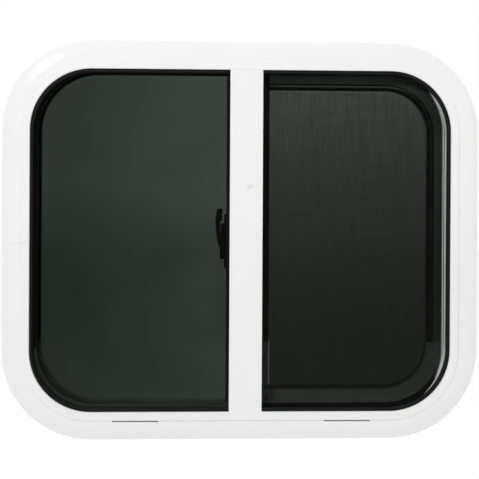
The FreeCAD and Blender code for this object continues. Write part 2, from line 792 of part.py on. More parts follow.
def meeting_stile():
    chamfer = size["stile_chamfer"]
    left = size["stile_left"]
    slot_floor = stile_right - size["stile_nose"]
    outline = [
        Corner(left + chamfer, stile_front),
        Corner(stile_right - chamfer, stile_front),
        Corner(stile_right, stile_front + chamfer),
        Corner(stile_right, stile_back - chamfer),
        Corner(stile_right - chamfer, stile_back),
        Corner(left + chamfer, stile_back),
        Corner(left, stile_back - chamfer),
        Corner(left, sash_back + size["glue_gap"]),
        Corner(slot_floor, sash_back + size["glue_gap"]),
        Corner(slot_floor, sash_front - size["glue_gap"]),
        Corner(left, sash_front - size["glue_gap"]),
        Corner(left, stile_front + chamfer),
    ]
    end_inset = stile_end + size["cap_height"]
    foot = bottom_at(end_inset)
    body = pad_up("meeting_stile", [outline], foot, top_at(end_inset) - foot)
    hole = size["bolt_radius"] + size["glue_gap"]
    drill(body, "bolt_hole", [(bolt_across, height("pin_height"))], hole,
          stile_front - size["cut_margin"], size["stile_depth"] + size["cut_margin"] * 2)


def stile_cap(label, low, high):
    """Moulded cap over the stile's end, slotted for the pane."""
    left = size["stile_left"]
    slot_floor = stile_right - size["stile_nose"]
    outline = [
        Corner(left, stile_front),
        Corner(stile_right, stile_front),
        Corner(stile_right, stile_back),
        Corner(left, stile_back),
        Corner(left, sash_back + gap),
        Corner(slot_floor, sash_back + gap),
        Corner(slot_floor, sash_front - gap),
        Corner(left, sash_front - gap),
    ]
    pad_up(label, [outline], low, high - low)


def stile_caps():
    cap = size["cap_height"] - size["glue_gap"]
    low = bottom_at(stile_end)
    high = top_at(stile_end)
    stile_cap("stile_cap_bottom", low, low + cap)
    stile_cap("stile_cap_top", high - cap, high)


def stile_pile():
    left = size["stile_left"] + size["pile_offset"]
    end_inset = stile_end + size["cap_height"]
    plain_box(
        "stile_pile", left, front_fin_back + gap, bottom_at(end_inset),
        left + size["pile_width"], stile_front, top_at(end_inset))


# Latch on the room side of the meeting stile. Reaches run left from the stile's left face,
# heights run up from the latch's lower end.

latch_back = stile_back + size["latch_depth"]
slot_front = stile_back + (size["latch_depth"] - size["slot_thickness"]) / 2
bolt_across = pocket_left - size["bolt_to_pocket"] - size["bolt_radius"]


def reach(name):
    return size["stile_left"] - size[name]


def height(name):
    return size["latch_foot"] + size[name]


def latch_body():
    foot = size["latch_foot"]
    right = size["stile_left"] + size["latch_width"]
    corner = size["latch_corner"]
    outline = [
        Corner(reach("latch_tail"), foot),
        Corner(right, foot, corner),
        Corner(right, height("latch_cheek_top"), corner),
        Corner(reach("latch_cheek"), height("latch_cheek_top")),
        Corner(reach("latch_cheek"), height("latch_waist_top")),
        Corner(reach("latch_waist"), height("latch_waist_top")),
        Corner(reach("latch_waist"), height("latch_knuckle_top")),
        Corner(reach("latch_knuckle"), height("latch_knuckle_top")),
        Corner(reach("latch_knuckle"), height("latch_tail_top")),
        Corner(reach("latch_tail"), height("latch_tail_top")),
    ]
    body = pad_across("latch_body", [outline], stile_back, size["latch_depth"])
    ear_slot = box_outline(
        reach("latch_waist") - size["cut_margin"], height("slot_floor"),
        reach("latch_waist") + size["slot_reach"], height("slot_head"))
    cut_across(body, "ear_slot", [ear_slot], slot_front, size["slot_thickness"])
    bed_front = latch_back - size["thumb_bed_depth"]
    half_bed = size["thumb_bed_height"] / 2
    thumb_bed = box_outline(
        bolt_across - size["thumb_bed_width"] / 2, height("pin_height") - half_bed,
        bolt_across + size["thumb_bed_width"] / 2, height("pin_height") + half_bed)
    cut_across(
        body, "thumb_bed", [thumb_bed], bed_front, size["thumb_bed_depth"] + size["cut_margin"])
    hole = size["bolt_radius"] + size["glue_gap"]
    drill(body, "bolt_hole", [(bolt_across, height("pin_height"))], hole,
          stile_back, size["latch_depth"])
    pin = (reach("latch_waist") + size["pin_inset"], height("pin_height"))
    drill(body, "pin_hole", [pin], size["pin_radius"], stile_back, size["latch_depth"])


def latch_lever():
    left_gap = reach("latch_waist") - size["lever_gap"]
    corner = size["lever_corner"]
    handle = [
        Corner(reach("lever_foot_reach"), height("latch_knuckle_top") + gap),
        Corner(left_gap, height("latch_knuckle_top") + gap),
        Corner(left_gap, height("lever_head_low")),
        Corner(reach("lever_head_right"), height("lever_head_low")),
        Corner(reach("lever_head_right"), height("lever_top")),
        Corner(reach("lever_head_reach"), height("lever_top"), corner),
        Corner(reach("lever_belly_reach"), height("lever_belly_height"),
               bulge=-size["lever_back_radius"]),
    ]
    front = stile_back + (size["latch_depth"] - size["lever_depth"]) / 2
    body = pad_across("latch_lever", [handle], front, size["lever_depth"])
    ear = box_outline(
        left_gap - size["lever_gap"], height("slot_floor") + gap,
        reach("latch_waist") + size["slot_reach"] - gap, height("slot_head") - gap)
    ear_thickness = size["slot_thickness"] - gap * 2
    add_across(body, "ear", [ear], slot_front + gap, ear_thickness)
    pin = (reach("latch_waist") + size["pin_inset"], height("pin_height"))
    drill(body, "pin_hole", [pin], size["pin_radius"] + size["glue_gap"], front, size["lever_depth"])


def round_bar(label, across, along, front, radius, length):
    """A round bar that runs indoors from front."""
    bar = doc.addObject("Part::Cylinder", label)
    for name, extent in (("Radius", radius), ("Height", length)):
        setattr(bar, name, extent.number)
        bar.setExpression(name, extent.formula)
    towards_room = FreeCAD.Rotation(FreeCAD.Vector(1, 0, 0), -90)
    bar.Placement = FreeCAD.Placement(
        FreeCAD.Vector(across.number, front.number, along.number), towards_room)
    bar.setExpression("Placement.Base.x", across.formula)
    bar.setExpression("Placement.Base.y", front.formula)
    bar.setExpression("Placement.Base.z", along.formula)


def latch_pins():
    across = reach("latch_waist") + size["pin_inset"]
    round_bar("latch_pin", across, height("pin_height"), stile_back,
              size["pin_radius"] - size["glue_gap"], size["latch_depth"])
    bolt_front = stile_front - size["bolt_throw"]
    round_bar("latch_bolt", bolt_across, height("pin_height"), bolt_front,
              size["bolt_radius"], latch_back - bolt_front)


# Insect screen: a bent frame on three sides, closed by a straight stile on the left.

def screen_path(inset):
    radius = corner_at(inset)
    return [
        Corner(size["screen_stile_right"], top_at(inset)),
        Corner(right_at(inset), top_at(inset), radius),
        Corner(right_at(inset), bottom_at(inset), radius),
        Corner(size["screen_stile_right"], bottom_at(inset)),
    ]


def screen_frame():
    chamfer = size["screen_chamfer"]
    outer = top_at(screen_outer)
    groove = top_at(screen_inner - size["spline_width"])
    outline = [
        Corner(screen_front, outer - chamfer),
        Corner(screen_front + chamfer, outer),
        Corner(screen_back, outer),
        Corner(screen_back, top_at(screen_inner)),
        Corner(mesh_back, top_at(screen_inner)),
        Corner(mesh_back, groove),
        Corner(screen_front, groove),
    ]
    bent_bar(
        "screen_frame", screen_path(screen_outer), "YZ_Plane", size["screen_stile_right"], [outline])


def screen_spline():
    inset = screen_inner - size["spline_width"] + size["glue_gap"]
    outline = box_outline(
        screen_front + gap, top_at(inset),
        mesh_front - size["glue_gap"], top_at(screen_inner - size["glue_gap"]))
    bent_bar(
        "screen_spline", screen_path(inset), "YZ_Plane", size["screen_stile_right"], [outline])


def insect_mesh():
    inset = screen_inner - size["spline_width"] + gap
    left = size["screen_stile_right"] - size["screen_slot"] + gap
    outline = [
        Corner(left, bottom_at(inset)),
        Corner(right_at(inset), bottom_at(inset), corner_at(inset)),
        Corner(right_at(inset), top_at(inset), corner_at(inset)),
        Corner(left, top_at(inset)),
    ]
    pad_across("insect_mesh", [outline], mesh_front, size["mesh_thickness"])


def screen_stile():
    """Extruded bar with a slot for the mesh."""
    chamfer = size["screen_chamfer"]
    right = size["screen_stile_right"]
    left = right - size["screen_stile_width"]
    slot = right - size["screen_slot"]
    slot_near = mesh_front - size["glue_gap"]
    slot_far = mesh_back + size["glue_gap"]
    outline = [
        Corner(left + chamfer, screen_front),
        Corner(right, screen_front),
        Corner(right, slot_near),
        Corner(slot, slot_near),
        Corner(slot, slot_far),
        Corner(right, slot_far),
        Corner(right, screen_back),
        Corner(left + chamfer, screen_back),
        Corner(left, screen_back - chamfer),
        Corner(left, screen_front + chamfer),
    ]
    end_inset = screen_outer + size["screen_corner_height"]
    foot = bottom_at(end_inset)
    pad_up("screen_stile", [outline], foot, top_at(end_inset) - foot)


def screen_corner(label, low, high):
    """Moulded runner at the stile's end, on the track's floor."""
    right = size["screen_stile_right"] - size["glue_gap"]
    left = size["screen_stile_right"] - size["screen_stile_width"]
    plain_box(label, left, screen_front, low, right, screen_back, high)


def screen_corners():
    joint = screen_outer + size["screen_corner_height"] - size["glue_gap"]
    lined_seat = seat_inset + size["track_lining_wall"] + gap
    screen_corner("screen_corner_bottom", bottom_at(seat_inset), bottom_at(joint))
    screen_corner("screen_corner_top", top_at(joint), top_at(lined_seat))


def screen_track_lining():
    """Thin black lining of the screen's track, hooked over the rear fin, above the joint."""
    wall = size["track_lining_wall"]
    floor = left_at(seat_inset)
    edge = left_at(size["rear_fin_inset"])
    hook = edge + gap
    front = middle_fin_back + gap
    back = rear_fin_front - gap
    outline = [
        Corner(floor, front),
        Corner(edge, front),
        Corner(edge, front + wall),
        Corner(floor + wall, front + wall),
        Corner(floor + wall, back - wall),
        Corner(hook + wall, back - wall),
        Corner(hook + wall, rear_fin_back - gap),
        Corner(hook, rear_fin_back - gap),
        Corner(hook, back),
        Corner(floor, back),
    ]
    path = run_path(jamb_joint, top_at(seat_inset))
    bent_bar("screen_track_lining", path, "XY_Plane", jamb_joint, [outline])


def screen_trim():
    """Ridged black trim on the outdoor face of the screen, down to the height of the joint."""
    raised = screen_front - size["trim_thickness"]
    sunk = raised + size["trim_step"]
    inner = top_at(screen_inner)
    ridge_start = inner + size["trim_margin"]
    ridge_end = ridge_start + size["trim_ridge"]
    band_start = ridge_end + size["trim_groove"]
    outer = top_at(size["rear_fin_inset"] + gap)
    outline = [
        Corner(screen_front, inner),
        Corner(sunk, inner),
        Corner(sunk, ridge_start),
        Corner(raised, ridge_start),
        Corner(raised, ridge_end),
        Corner(sunk, ridge_end),
        Corner(sunk, band_start),
        Corner(raised, band_start),
        Corner(raised, outer),
        Corner(screen_front, outer),
    ]
    path = [
        Corner(size["screen_stile_right"], top_at(screen_inner)),
        Corner(right_at(screen_inner), top_at(screen_inner), corner_at(screen_inner)),
        Corner(right_at(screen_inner), jamb_joint),
    ]
    bent_bar("screen_trim", path, "YZ_Plane", size["screen_stile_right"], [outline])


def screen_pull():
    """Shallow cup on the room face of the screen's stile."""
    middle = size["screen_stile_right"] - size["screen_stile_width"] / 2
    half_across = size["pull_width"] / 2
    half_up = size["pull_height"] / 2
    wall = size["pull_wall"]
    corner = size["pull_corner"]

    def rounded(inset, radius):
        return [
            Corner(middle - half_across + inset, middle_height - half_up + inset, radius),
            Corner(middle + half_across - inset, middle_height - half_up + inset, radius),
            Corner(middle + half_across - inset, middle_height + half_up - inset, radius),
            Corner(middle - half_across + inset, middle_height + half_up - inset, radius),
        ]

    body = pad_across("screen_pull", [rounded(zero, corner)], screen_back, size["pull_depth"])
    cut_across(
        body, "cup", [rounded(wall, corner - wall)],
        screen_back + size["pull_floor"], size["pull_depth"])


# Clamping ring on the room side.

def clamp_ring():
    chamfer = size["ring_chamfer"]
    outer = left_at(size["ring_inset"])
    inner = left_at(size["rear_fin_inset"])
    back = rear_fin_back + size["ring_thickness"]
    turn = rear_fin_back - size["ring_turn"]
    outline = [
        Corner(outer, turn),
        Corner(outer + size["ring_turn_wall"], turn),
        Corner(outer + size["ring_turn_wall"], rear_fin_back),
        Corner(inner, rear_fin_back),
        Corner(inner, back - chamfer),
        Corner(inner - chamfer, back),
        Corner(outer, back),
    ]
    body = bent_ring("clamp_ring", size["ring_inset"], [outline])
    across = size["screw_spacing_across"]
    up = size["screw_spacing_up"]
    screws = []
    for along in (bottom_at(size["screw_inset"]), top_at(size["screw_inset"])):
        screws += [(-across / 2, along), (across / 2, along)]
    for side in (left_at(size["screw_inset"]), right_at(size["screw_inset"])):
        screws += [(side, middle_height - up / 2), (side, middle_height + up / 2)]
    drill(
        body, "screw_holes", screws, size["screw_hole"],
        rear_fin_back - size["cut_margin"], size["ring_thickness"] + size["cut_margin"] * 2)


outer_frame()
frame_splice()
wiper_gasket()
fixed_pane()
left_head_lining()
left_sill_lining()
sash_stop()
glass_run_head()
glass_run_sill()
mullion()
cleat_end = size["fin_inset"] + size["cleat_reach"]
mullion_cleat("mullion_cleat_bottom", bottom_at(floor_inset), bottom_at(cleat_end))
mullion_cleat("mullion_cleat_top", top_at(cleat_end), top_at(floor_inset))
mullion_seal()
sash_pane()
meeting_stile()
stile_caps()
stile_pile()
latch_body()
latch_lever()
latch_pins()
screen_frame()
screen_trim()
screen_stile()
screen_corners()
screen_track_lining()
screen_spline()
insect_mesh()
screen_pull()
clamp_ring()
doc.recompute()

pieces = [
    thing for thing in doc.Objects
    if thing.TypeId in ("PartDesign::Body", "Part::Box", "Part::Cylinder")
]
for thing in doc.Objects:
    if "Invalid" in thing.State or "Error" in thing.State:
        raise RuntimeError(f"{thing.Name} failed: {thing.State}")
for piece in pieces:
    if piece.Shape.isNull() or not piece.Shape.isValid():
        raise RuntimeError(f"{piece.Label} has no valid shape")
    if len(piece.Shape.Solids) != 1:
        raise RuntimeError(f"{piece.Label} is not one solid")

os.makedirs("parts", exist_ok=True)
for piece in pieces:
    piece.Shape.exportStep(os.path.join("parts", f"{piece.Label}.step"))
    print(piece.Label, round(piece.Shape.Volume / 1000.0, 2), "cm3")
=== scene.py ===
import json
import math

import bmesh
import bpy
from mathutils import Matrix, Vector


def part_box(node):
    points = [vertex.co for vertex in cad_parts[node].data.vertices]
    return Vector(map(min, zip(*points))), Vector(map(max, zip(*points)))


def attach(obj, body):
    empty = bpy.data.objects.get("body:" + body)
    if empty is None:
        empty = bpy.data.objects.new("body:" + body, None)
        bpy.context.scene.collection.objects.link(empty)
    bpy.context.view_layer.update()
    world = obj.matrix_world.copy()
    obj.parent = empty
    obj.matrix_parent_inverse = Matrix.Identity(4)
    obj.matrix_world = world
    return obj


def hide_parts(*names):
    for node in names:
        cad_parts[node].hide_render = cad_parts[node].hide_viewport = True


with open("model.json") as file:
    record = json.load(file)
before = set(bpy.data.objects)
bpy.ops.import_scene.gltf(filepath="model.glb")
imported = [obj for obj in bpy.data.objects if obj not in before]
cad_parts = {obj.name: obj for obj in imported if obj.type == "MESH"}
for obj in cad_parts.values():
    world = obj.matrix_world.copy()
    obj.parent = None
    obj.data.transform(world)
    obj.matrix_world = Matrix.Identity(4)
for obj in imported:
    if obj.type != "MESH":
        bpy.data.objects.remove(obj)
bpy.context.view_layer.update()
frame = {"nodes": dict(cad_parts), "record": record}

MM = 0.001
nodes = frame["nodes"]


# Camera: square on to the window, a little above its middle, 620 mm in front of the lip.

camera_data = bpy.data.cameras.new("window_camera")
camera_data.sensor_width = 36
camera_data.lens = 35.1
camera_data.shift_x = -0.0250
camera_data.shift_y = -0.1385
camera = bpy.data.objects.new("window_camera", camera_data)
camera.location = (0.0015, -0.6255, 0.3395)
camera.rotation_euler = (math.radians(89.917), math.radians(-0.313), math.radians(-1.034))
bpy.context.scene.collection.objects.link(camera)
bpy.context.scene.camera = camera
bpy.context.scene.view_settings.view_transform = "Standard"


# Material helpers

def linear(code):
    """An sRGB hex colour as linear RGBA."""
    channels = [int(code[place:place + 2], 16) / 255 for place in (1, 3, 5)]
    return [
        value / 12.92 if value <= 0.04045 else ((value + 0.055) / 1.055) ** 2.4
        for value in channels
    ] + [1.0]


def add(tree, kind, settings=None, links=None):
    """Adds a node: settings set its properties and sockets, links feed its sockets."""
    made = tree.nodes.new(kind)
    for name, value in (settings or {}).items():
        if isinstance(name, int) or name in made.inputs:
            made.inputs[name].default_value = value
        else:
            setattr(made, name, value)
    for name, source in (links or {}).items():
        tree.links.new(source, made.inputs[name])
    return made


def new_material(name):
    """An empty material: its tree, and the object's own coordinates in metres."""
    material = bpy.data.materials.new(name)
    material.use_nodes = True
    tree = material.node_tree
    tree.nodes.clear()
    place = add(tree, "ShaderNodeTexCoord").outputs["Object"]
    return material, tree, place


# Finishes

frame_low, frame_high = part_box("outer_frame")
MIDDLE_UP = (frame_low.z + frame_high.z) / 2
FRAME_CORNER = 119 * MM
# Where the screen's trim and the flock on its stile end.
TRIM_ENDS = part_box("screen_trim")[0].z
# How deep a finish reaches that lies on one face only.
SKIN = 0.3 * MM


def inset_edge(inset):
    """The frame's rounded outline drawn in: half width, half height and corner radius."""
    return frame_high.x - inset, frame_high.z - MIDDLE_UP - inset, FRAME_CORNER - inset


# Rounded outlines that finishes follow, as half width, half height and corner radius:
# the step round the raised lip, the fin that the fixed pane is stuck to, the crest of the
# rubber lip, the rib of the trim, the middle of the spline, and the inner edge of the
# screen's pale frame as the fixed pane shows it.
STEP_EDGE = inset_edge(26.2 * MM)
FIN_EDGE = inset_edge(42 * MM)
LIP_CREST = (277.2 * MM, 223.2 * MM, 79 * MM)
TRIM_RIB = (268 * MM, 209.6 * MM, 66 * MM)
SPLINE_MIDDLE = (260.3 * MM, 205.5 * MM, 61.7 * MM)
PALE_FRAME_EDGE = (249.1 * MM, 199.5 * MM, 58 * MM)


def past_edge(tree, place, edge, middle=MIDDLE_UP):
    """Metres past a rounded outline centred on the window, negative inside it."""
    across, up, radius = edge
    centred = add(
        tree, "ShaderNodeVectorMath", {"operation": "SUBTRACT", 1: (0, 0, middle)}, {0: place})
    folded = add(
        tree, "ShaderNodeVectorMath", {"operation": "ABSOLUTE"}, {0: centred.outputs[0]})
    past_corner = add(
        tree, "ShaderNodeVectorMath",
        {"operation": "SUBTRACT", 1: (across - radius, 1.0, up - radius)}, {0: folded.outputs[0]})
    outside = add(
        tree, "ShaderNodeVectorMath", {"operation": "MAXIMUM", 1: (0, 0, 0)},
        {0: past_corner.outputs[0]})
    reach = add(
        tree, "ShaderNodeVectorMath", {"operation": "LENGTH"}, {0: outside.outputs[0]})
    return add(
        tree, "ShaderNodeMath", {"operation": "SUBTRACT", 1: radius},
        {0: reach.outputs["Value"]}).outputs[0]


# Strokes of the scuff on the mullion: middle, turn in degrees, half length and depth.
SCUFFS = (
    ((10.4 * MM, -4 * MM, 319.3 * MM), 59, 7.5 * MM, 0.42),
    ((9.6 * MM, -4 * MM, 322.6 * MM), 88, 7.0 * MM, 0.20),
)


def gloss_powder_coat():
    """White polyester powder coat on extruded aluminium, sprayed and baked.

    It gives a gloss with the faint orange peel of melted powder, a cloud of film thickness and
    a few specks of dust in the film. The mullion has one faint forked scuff, and a thin line of
    painted shadow lies along the step at the lower right.
    """
    material, tree, place = new_material("gloss white powder coat")
    cloud = add(
        tree, "ShaderNodeTexNoise", {"Scale": 1 / (120 * MM), "Detail": 2.0}, {"Vector": place})
    film = add(
        tree, "ShaderNodeMix",
        {"data_type": "RGBA", 6: linear("#f3f3f3"), 7: linear("#f8f7f7")},
        {"Factor": cloud.outputs["Fac"]})

    speck = add(
        tree, "ShaderNodeTexNoise", {"Scale": 1 / (1.9 * MM), "Detail": 1.0}, {"Vector": place})
    dust = add(
        tree, "ShaderNodeMapRange", {"From Min": 0.76, "From Max": 0.82, "To Max": 0.35},
        {"Value": speck.outputs["Fac"]})
    dusty = add(
        tree, "ShaderNodeMix", {"data_type": "RGBA", 7: linear("#cfcfcc")},
        {"Factor": dust.outputs[0], 6: film.outputs[2]})

    scuffed = dusty.outputs[2]
    for middle, turn, reach, depth in SCUFFS:
        scuff_place = add(
            tree, "ShaderNodeMapping",
            {"vector_type": "TEXTURE", "Location": middle, "Rotation": (0, math.radians(turn), 0),
             "Scale": (1.3 * MM, 60 * MM, reach)},
            {"Vector": place})
        scuff = add(
            tree, "ShaderNodeTexGradient", {"gradient_type": "SPHERICAL"},
            {"Vector": scuff_place.outputs[0]})
        mark = add(
            tree, "ShaderNodeMapRange", {"From Max": 0.5, "To Max": depth},
            {"Value": scuff.outputs["Fac"]})
        scuffed = add(
            tree, "ShaderNodeMix", {"data_type": "RGBA", 7: linear("#b4b5b3")},
            {"Factor": mark.outputs[0], 6: scuffed}).outputs[2]

    # Painted shadow: a thin darker line just outside the step, on the lower and right sides.
    past_step = past_edge(tree, place, STEP_EDGE)
    line_width = 1.1 * MM
    line = add(
        tree, "ShaderNodeMapRange",
        {"From Min": 0.0, "From Max": line_width, "To Min": 1.0, "To Max": 0.0},
        {"Value": past_step})
    outer = add(
        tree, "ShaderNodeMath", {"operation": "GREATER_THAN", 1: -0.1 * MM}, {0: past_step})
    step_across, step_up = STEP_EDGE[:2]
    level_middle = -MIDDLE_UP / step_up
    side = add(
        tree, "ShaderNodeVectorMath",
        {"operation": "DOT_PRODUCT", 1: (1 / step_across, 0, -1 / step_up)}, {0: place})
    low_side = add(
        tree, "ShaderNodeMapRange",
        {"From Min": level_middle - 0.1, "From Max": level_middle + 0.5, "To Max": 0.7},
        {"Value": side.outputs["Value"]})
    step_shadow_band = add(
        tree, "ShaderNodeMath", {"operation": "MULTIPLY"},
        {0: line.outputs[0], 1: outer.outputs[0]})
    painted_step_shadow = add(
        tree, "ShaderNodeMath", {"operation": "MULTIPLY"},
        {0: step_shadow_band.outputs[0], 1: low_side.outputs[0]})
    step_shadow_painted = add(
        tree, "ShaderNodeMix", {"data_type": "RGBA", 7: linear("#8d8e8b")},
        {"Factor": painted_step_shadow.outputs[0], 6: scuffed})

    peel = add(
        tree, "ShaderNodeTexNoise", {"Scale": 1 / (2.2 * MM), "Detail": 1.0}, {"Vector": place})
    gloss = add(
        tree, "ShaderNodeMapRange",
        {"From Min": 0.3, "From Max": 0.7, "To Min": 0.07, "To Max": 0.11},
        {"Value": peel.outputs["Fac"]})
    relief = add(
        tree, "ShaderNodeBump", {"Strength": 0.6, "Distance": 0.01 * MM},
        {"Height": peel.outputs["Fac"]})
    shader = add(
        tree, "ShaderNodeBsdfPrincipled", {"IOR": 1.5},
        {"Base Color": step_shadow_painted.outputs[2], "Roughness": gloss.outputs[0],
         "Normal": relief.outputs[0]})
    add(tree, "ShaderNodeOutputMaterial", links={"Surface": shader.outputs[0]})
    return material


def tone_along(tree, place, lean, low, high, curve):
    """0 to 1 where lean * x + z runs from low to high metres, bent by a power."""
    where = add(tree, "ShaderNodeSeparateXYZ", links={"Vector": place})
    along = add(
        tree, "ShaderNodeMath", {"operation": "MULTIPLY_ADD", 1: lean},
        {0: where.outputs["X"], 2: where.outputs["Z"]})
    share = add(
        tree, "ShaderNodeMapRange", {"From Min": low, "From Max": high},
        {"Value": along.outputs[0]})
    return add(
        tree, "ShaderNodeMath", {"operation": "POWER", 1: curve}, {0: share.outputs[0]}).outputs[0]


def roller_wave(tree, place):
    """The faint waves that the rollers of the toughening furnace leave in the glass."""
    wave = add(
        tree, "ShaderNodeTexNoise", {"Scale": 1 / (70 * MM), "Detail": 0.0}, {"Vector": place})
    return add(
        tree, "ShaderNodeBump", {"Strength": 0.3, "Distance": 0.05 * MM},
        {"Height": wave.outputs["Fac"]}).outputs[0]


def sash_glass():
    """Body-tinted float glass, toughened and fire polished: dark green-grey.

    Painted shade makes it darker towards the left and below a soft horizon at mid height; it has faint
    clouds.
    """
    material, tree, place = new_material("tinted toughened glass")
    # Painted shade: the glass is darker towards the left and below mid height.
    dark_left, light_right = -247 * MM, -46 * MM
    horizon_low, horizon_high = 205 * MM, 325 * MM
    where = add(tree, "ShaderNodeSeparateXYZ", links={"Vector": place})
    across = add(
        tree, "ShaderNodeMapRange",
        {"From Min": dark_left, "From Max": light_right, "To Max": 0.56},
        {"Value": where.outputs["X"]})
    horizon = add(
        tree, "ShaderNodeMapRange",
        {"interpolation_type": "SMOOTHSTEP", "From Min": horizon_low, "From Max": horizon_high,
         "To Max": 0.44},
        {"Value": where.outputs["Z"]})
    clouds = add(
        tree, "ShaderNodeTexNoise", {"Scale": 1 / (90 * MM), "Detail": 2.0}, {"Vector": place})
    drift = add(
        tree, "ShaderNodeMapRange",
        {"From Min": 0.3, "From Max": 0.7, "To Min": -0.1, "To Max": 0.1},
        {"Value": clouds.outputs["Fac"]})
    lean = add(
        tree, "ShaderNodeMath", {"operation": "ADD"}, {0: across.outputs[0], 1: horizon.outputs[0]})
    share = add(
        tree, "ShaderNodeMath", {"operation": "ADD", "use_clamp": True},
        {0: lean.outputs[0], 1: drift.outputs[0]})
    tint_and_painted_shading = add(
        tree, "ShaderNodeMix",
        {"data_type": "RGBA", 6: linear("#1e251f"), 7: linear("#384039")},
        {"Factor": share.outputs[0]})
    shader = add(
        tree, "ShaderNodeBsdfPrincipled", {"Transmission Weight": 1.0, "Roughness": 0.0, "IOR": 1.13},
        {"Base Color": tint_and_painted_shading.outputs[2], "Normal": roller_wave(tree, place)})
    add(tree, "ShaderNodeOutputMaterial", links={"Surface": shader.outputs[0]})
    return material


def fixed_glass():
    """The same glass in the fixed pane, with light and shade painted into it.

    Painted shade darkens it downwards over the insect screen. Painted light keeps it clearer over
    the pale screen frame and over the low, bare end of the screen's stile, and a painted highlight
    runs along the stile's edge. Its right edge has a ground, frosted arris. Where the pane is stuck
    to the frame's fin, a black band of painted shade lies along the fin.
    """
    material, tree, place = new_material("tinted toughened glass of the fixed pane")
    pane_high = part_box("fixed_pane")[1]
    cover_inset = frame_high.z - pane_high.z
    pane_edge = (
        pane_high.x, pane_high.z - MIDDLE_UP, FRAME_CORNER - cover_inset - 1 * MM)
    bare_low, bare_high = 54.65 * MM, 114.65 * MM
    highlight_edge, highlight_half = 37.4 * MM, 0.9 * MM
    arris_starts, arris_full = 238 * MM, 252 * MM
    arris_width = 0.9 * MM
    fin_shadow_width = 1.9 * MM
    # Painted shade: darker downwards over the screen; painted light: clearer over the pale frame.
    downwards = tone_along(tree, place, lean=-0.1, low=45 * MM, high=430.7 * MM, curve=2.0)
    over_screen = add(
        tree, "ShaderNodeMix",
        {"data_type": "RGBA", 6: linear("#202420"), 7: linear("#474d46")}, {"Factor": downwards})
    over_frame = add(
        tree, "ShaderNodeMix",
        {"data_type": "RGBA", 6: linear("#3c423c"), 7: linear("#586158")}, {"Factor": downwards})
    frame_edge = add(
        tree, "ShaderNodeMapRange", {"From Min": -1 * MM, "From Max": 1.5 * MM},
        {"Value": past_edge(tree, place, PALE_FRAME_EDGE)})
    tint_and_painted_shading = add(
        tree, "ShaderNodeMix", {"data_type": "RGBA"},
        {"Factor": frame_edge.outputs[0], 6: over_screen.outputs[2], 7: over_frame.outputs[2]})

    # Painted light over the stile's low, bare end, with a painted highlight along its edge.
    where = add(tree, "ShaderNodeSeparateXYZ", links={"Vector": place})
    below_trim = add(
        tree, "ShaderNodeMath", {"operation": "LESS_THAN", 1: bare_high}, {0: where.outputs["Z"]})
    above_frame = add(
        tree, "ShaderNodeMath", {"operation": "GREATER_THAN", 1: bare_low},
        {0: where.outputs["Z"]})
    bare_end = add(
        tree, "ShaderNodeMath", {"operation": "MULTIPLY"},
        {0: below_trim.outputs[0], 1: above_frame.outputs[0]})
    over_edge = add(
        tree, "ShaderNodeMath", {"operation": "COMPARE", 1: highlight_edge, 2: highlight_half},
        {0: where.outputs["X"]})
    over_stile = add(
        tree, "ShaderNodeMath", {"operation": "LESS_THAN", 1: highlight_edge - highlight_half},
        {0: where.outputs["X"]})
    edge_share = add(
        tree, "ShaderNodeMath", {"operation": "MULTIPLY", 1: 0.66}, {0: over_edge.outputs[0]})
    stile_share = add(
        tree, "ShaderNodeMath", {"operation": "MULTIPLY", 1: 0.27}, {0: over_stile.outputs[0]})
    left_side = add(
        tree, "ShaderNodeMath", {"operation": "MAXIMUM"},
        {0: edge_share.outputs[0], 1: stile_share.outputs[0]})
    clearer = add(
        tree, "ShaderNodeMath", {"operation": "MULTIPLY"},
        {0: left_side.outputs[0], 1: bare_end.outputs[0]})
    tint_and_painted_shading = add(
        tree, "ShaderNodeMix", {"data_type": "RGBA", 7: linear("#596057")},
        {"Factor": clearer.outputs[0], 6: tint_and_painted_shading.outputs[2]})

    ground = add(
        tree, "ShaderNodeMath", {"operation": "GREATER_THAN", 1: -arris_width},
        {0: past_edge(tree, place, pane_edge)})
    free_side = add(
        tree, "ShaderNodeMapRange", {"From Min": arris_starts, "From Max": arris_full},
        {"Value": where.outputs["X"]})
    arris = add(
        tree, "ShaderNodeMath", {"operation": "MULTIPLY"},
        {0: ground.outputs[0], 1: free_side.outputs[0]})
    # Painted shade: an opaque black band along the fin, where the pane is stuck to it.
    painted_fin_shadow = add(
        tree, "ShaderNodeMath", {"operation": "GREATER_THAN", 1: -fin_shadow_width},
        {0: past_edge(tree, place, FIN_EDGE, MIDDLE_UP + 1 * MM)})
    frosted = add(
        tree, "ShaderNodeMix", {"data_type": "RGBA", 7: linear("#b4c0b6")},
        {"Factor": arris.outputs[0], 6: tint_and_painted_shading.outputs[2]})
    fin_shadow_painted = add(
        tree, "ShaderNodeMix", {"data_type": "RGBA", 7: linear("#070707")},
        {"Factor": painted_fin_shadow.outputs[0], 6: frosted.outputs[2]})
    opaque = add(
        tree, "ShaderNodeMath", {"operation": "MAXIMUM"},
        {0: arris.outputs[0], 1: painted_fin_shadow.outputs[0]})
    clear = add(
        tree, "ShaderNodeMath", {"operation": "SUBTRACT", 0: 1.0}, {1: opaque.outputs[0]})
    rough = add(
        tree, "ShaderNodeMath", {"operation": "MULTIPLY", 1: 0.6}, {0: arris.outputs[0]})
    shader = add(
        tree, "ShaderNodeBsdfPrincipled", {"IOR": 1.13},
        {"Base Color": fin_shadow_painted.outputs[2], "Transmission Weight": clear.outputs[0],
         "Roughness": rough.outputs[0], "Normal": roller_wave(tree, place)})
    add(tree, "ShaderNodeOutputMaterial", links={"Surface": shader.outputs[0]})
    return material


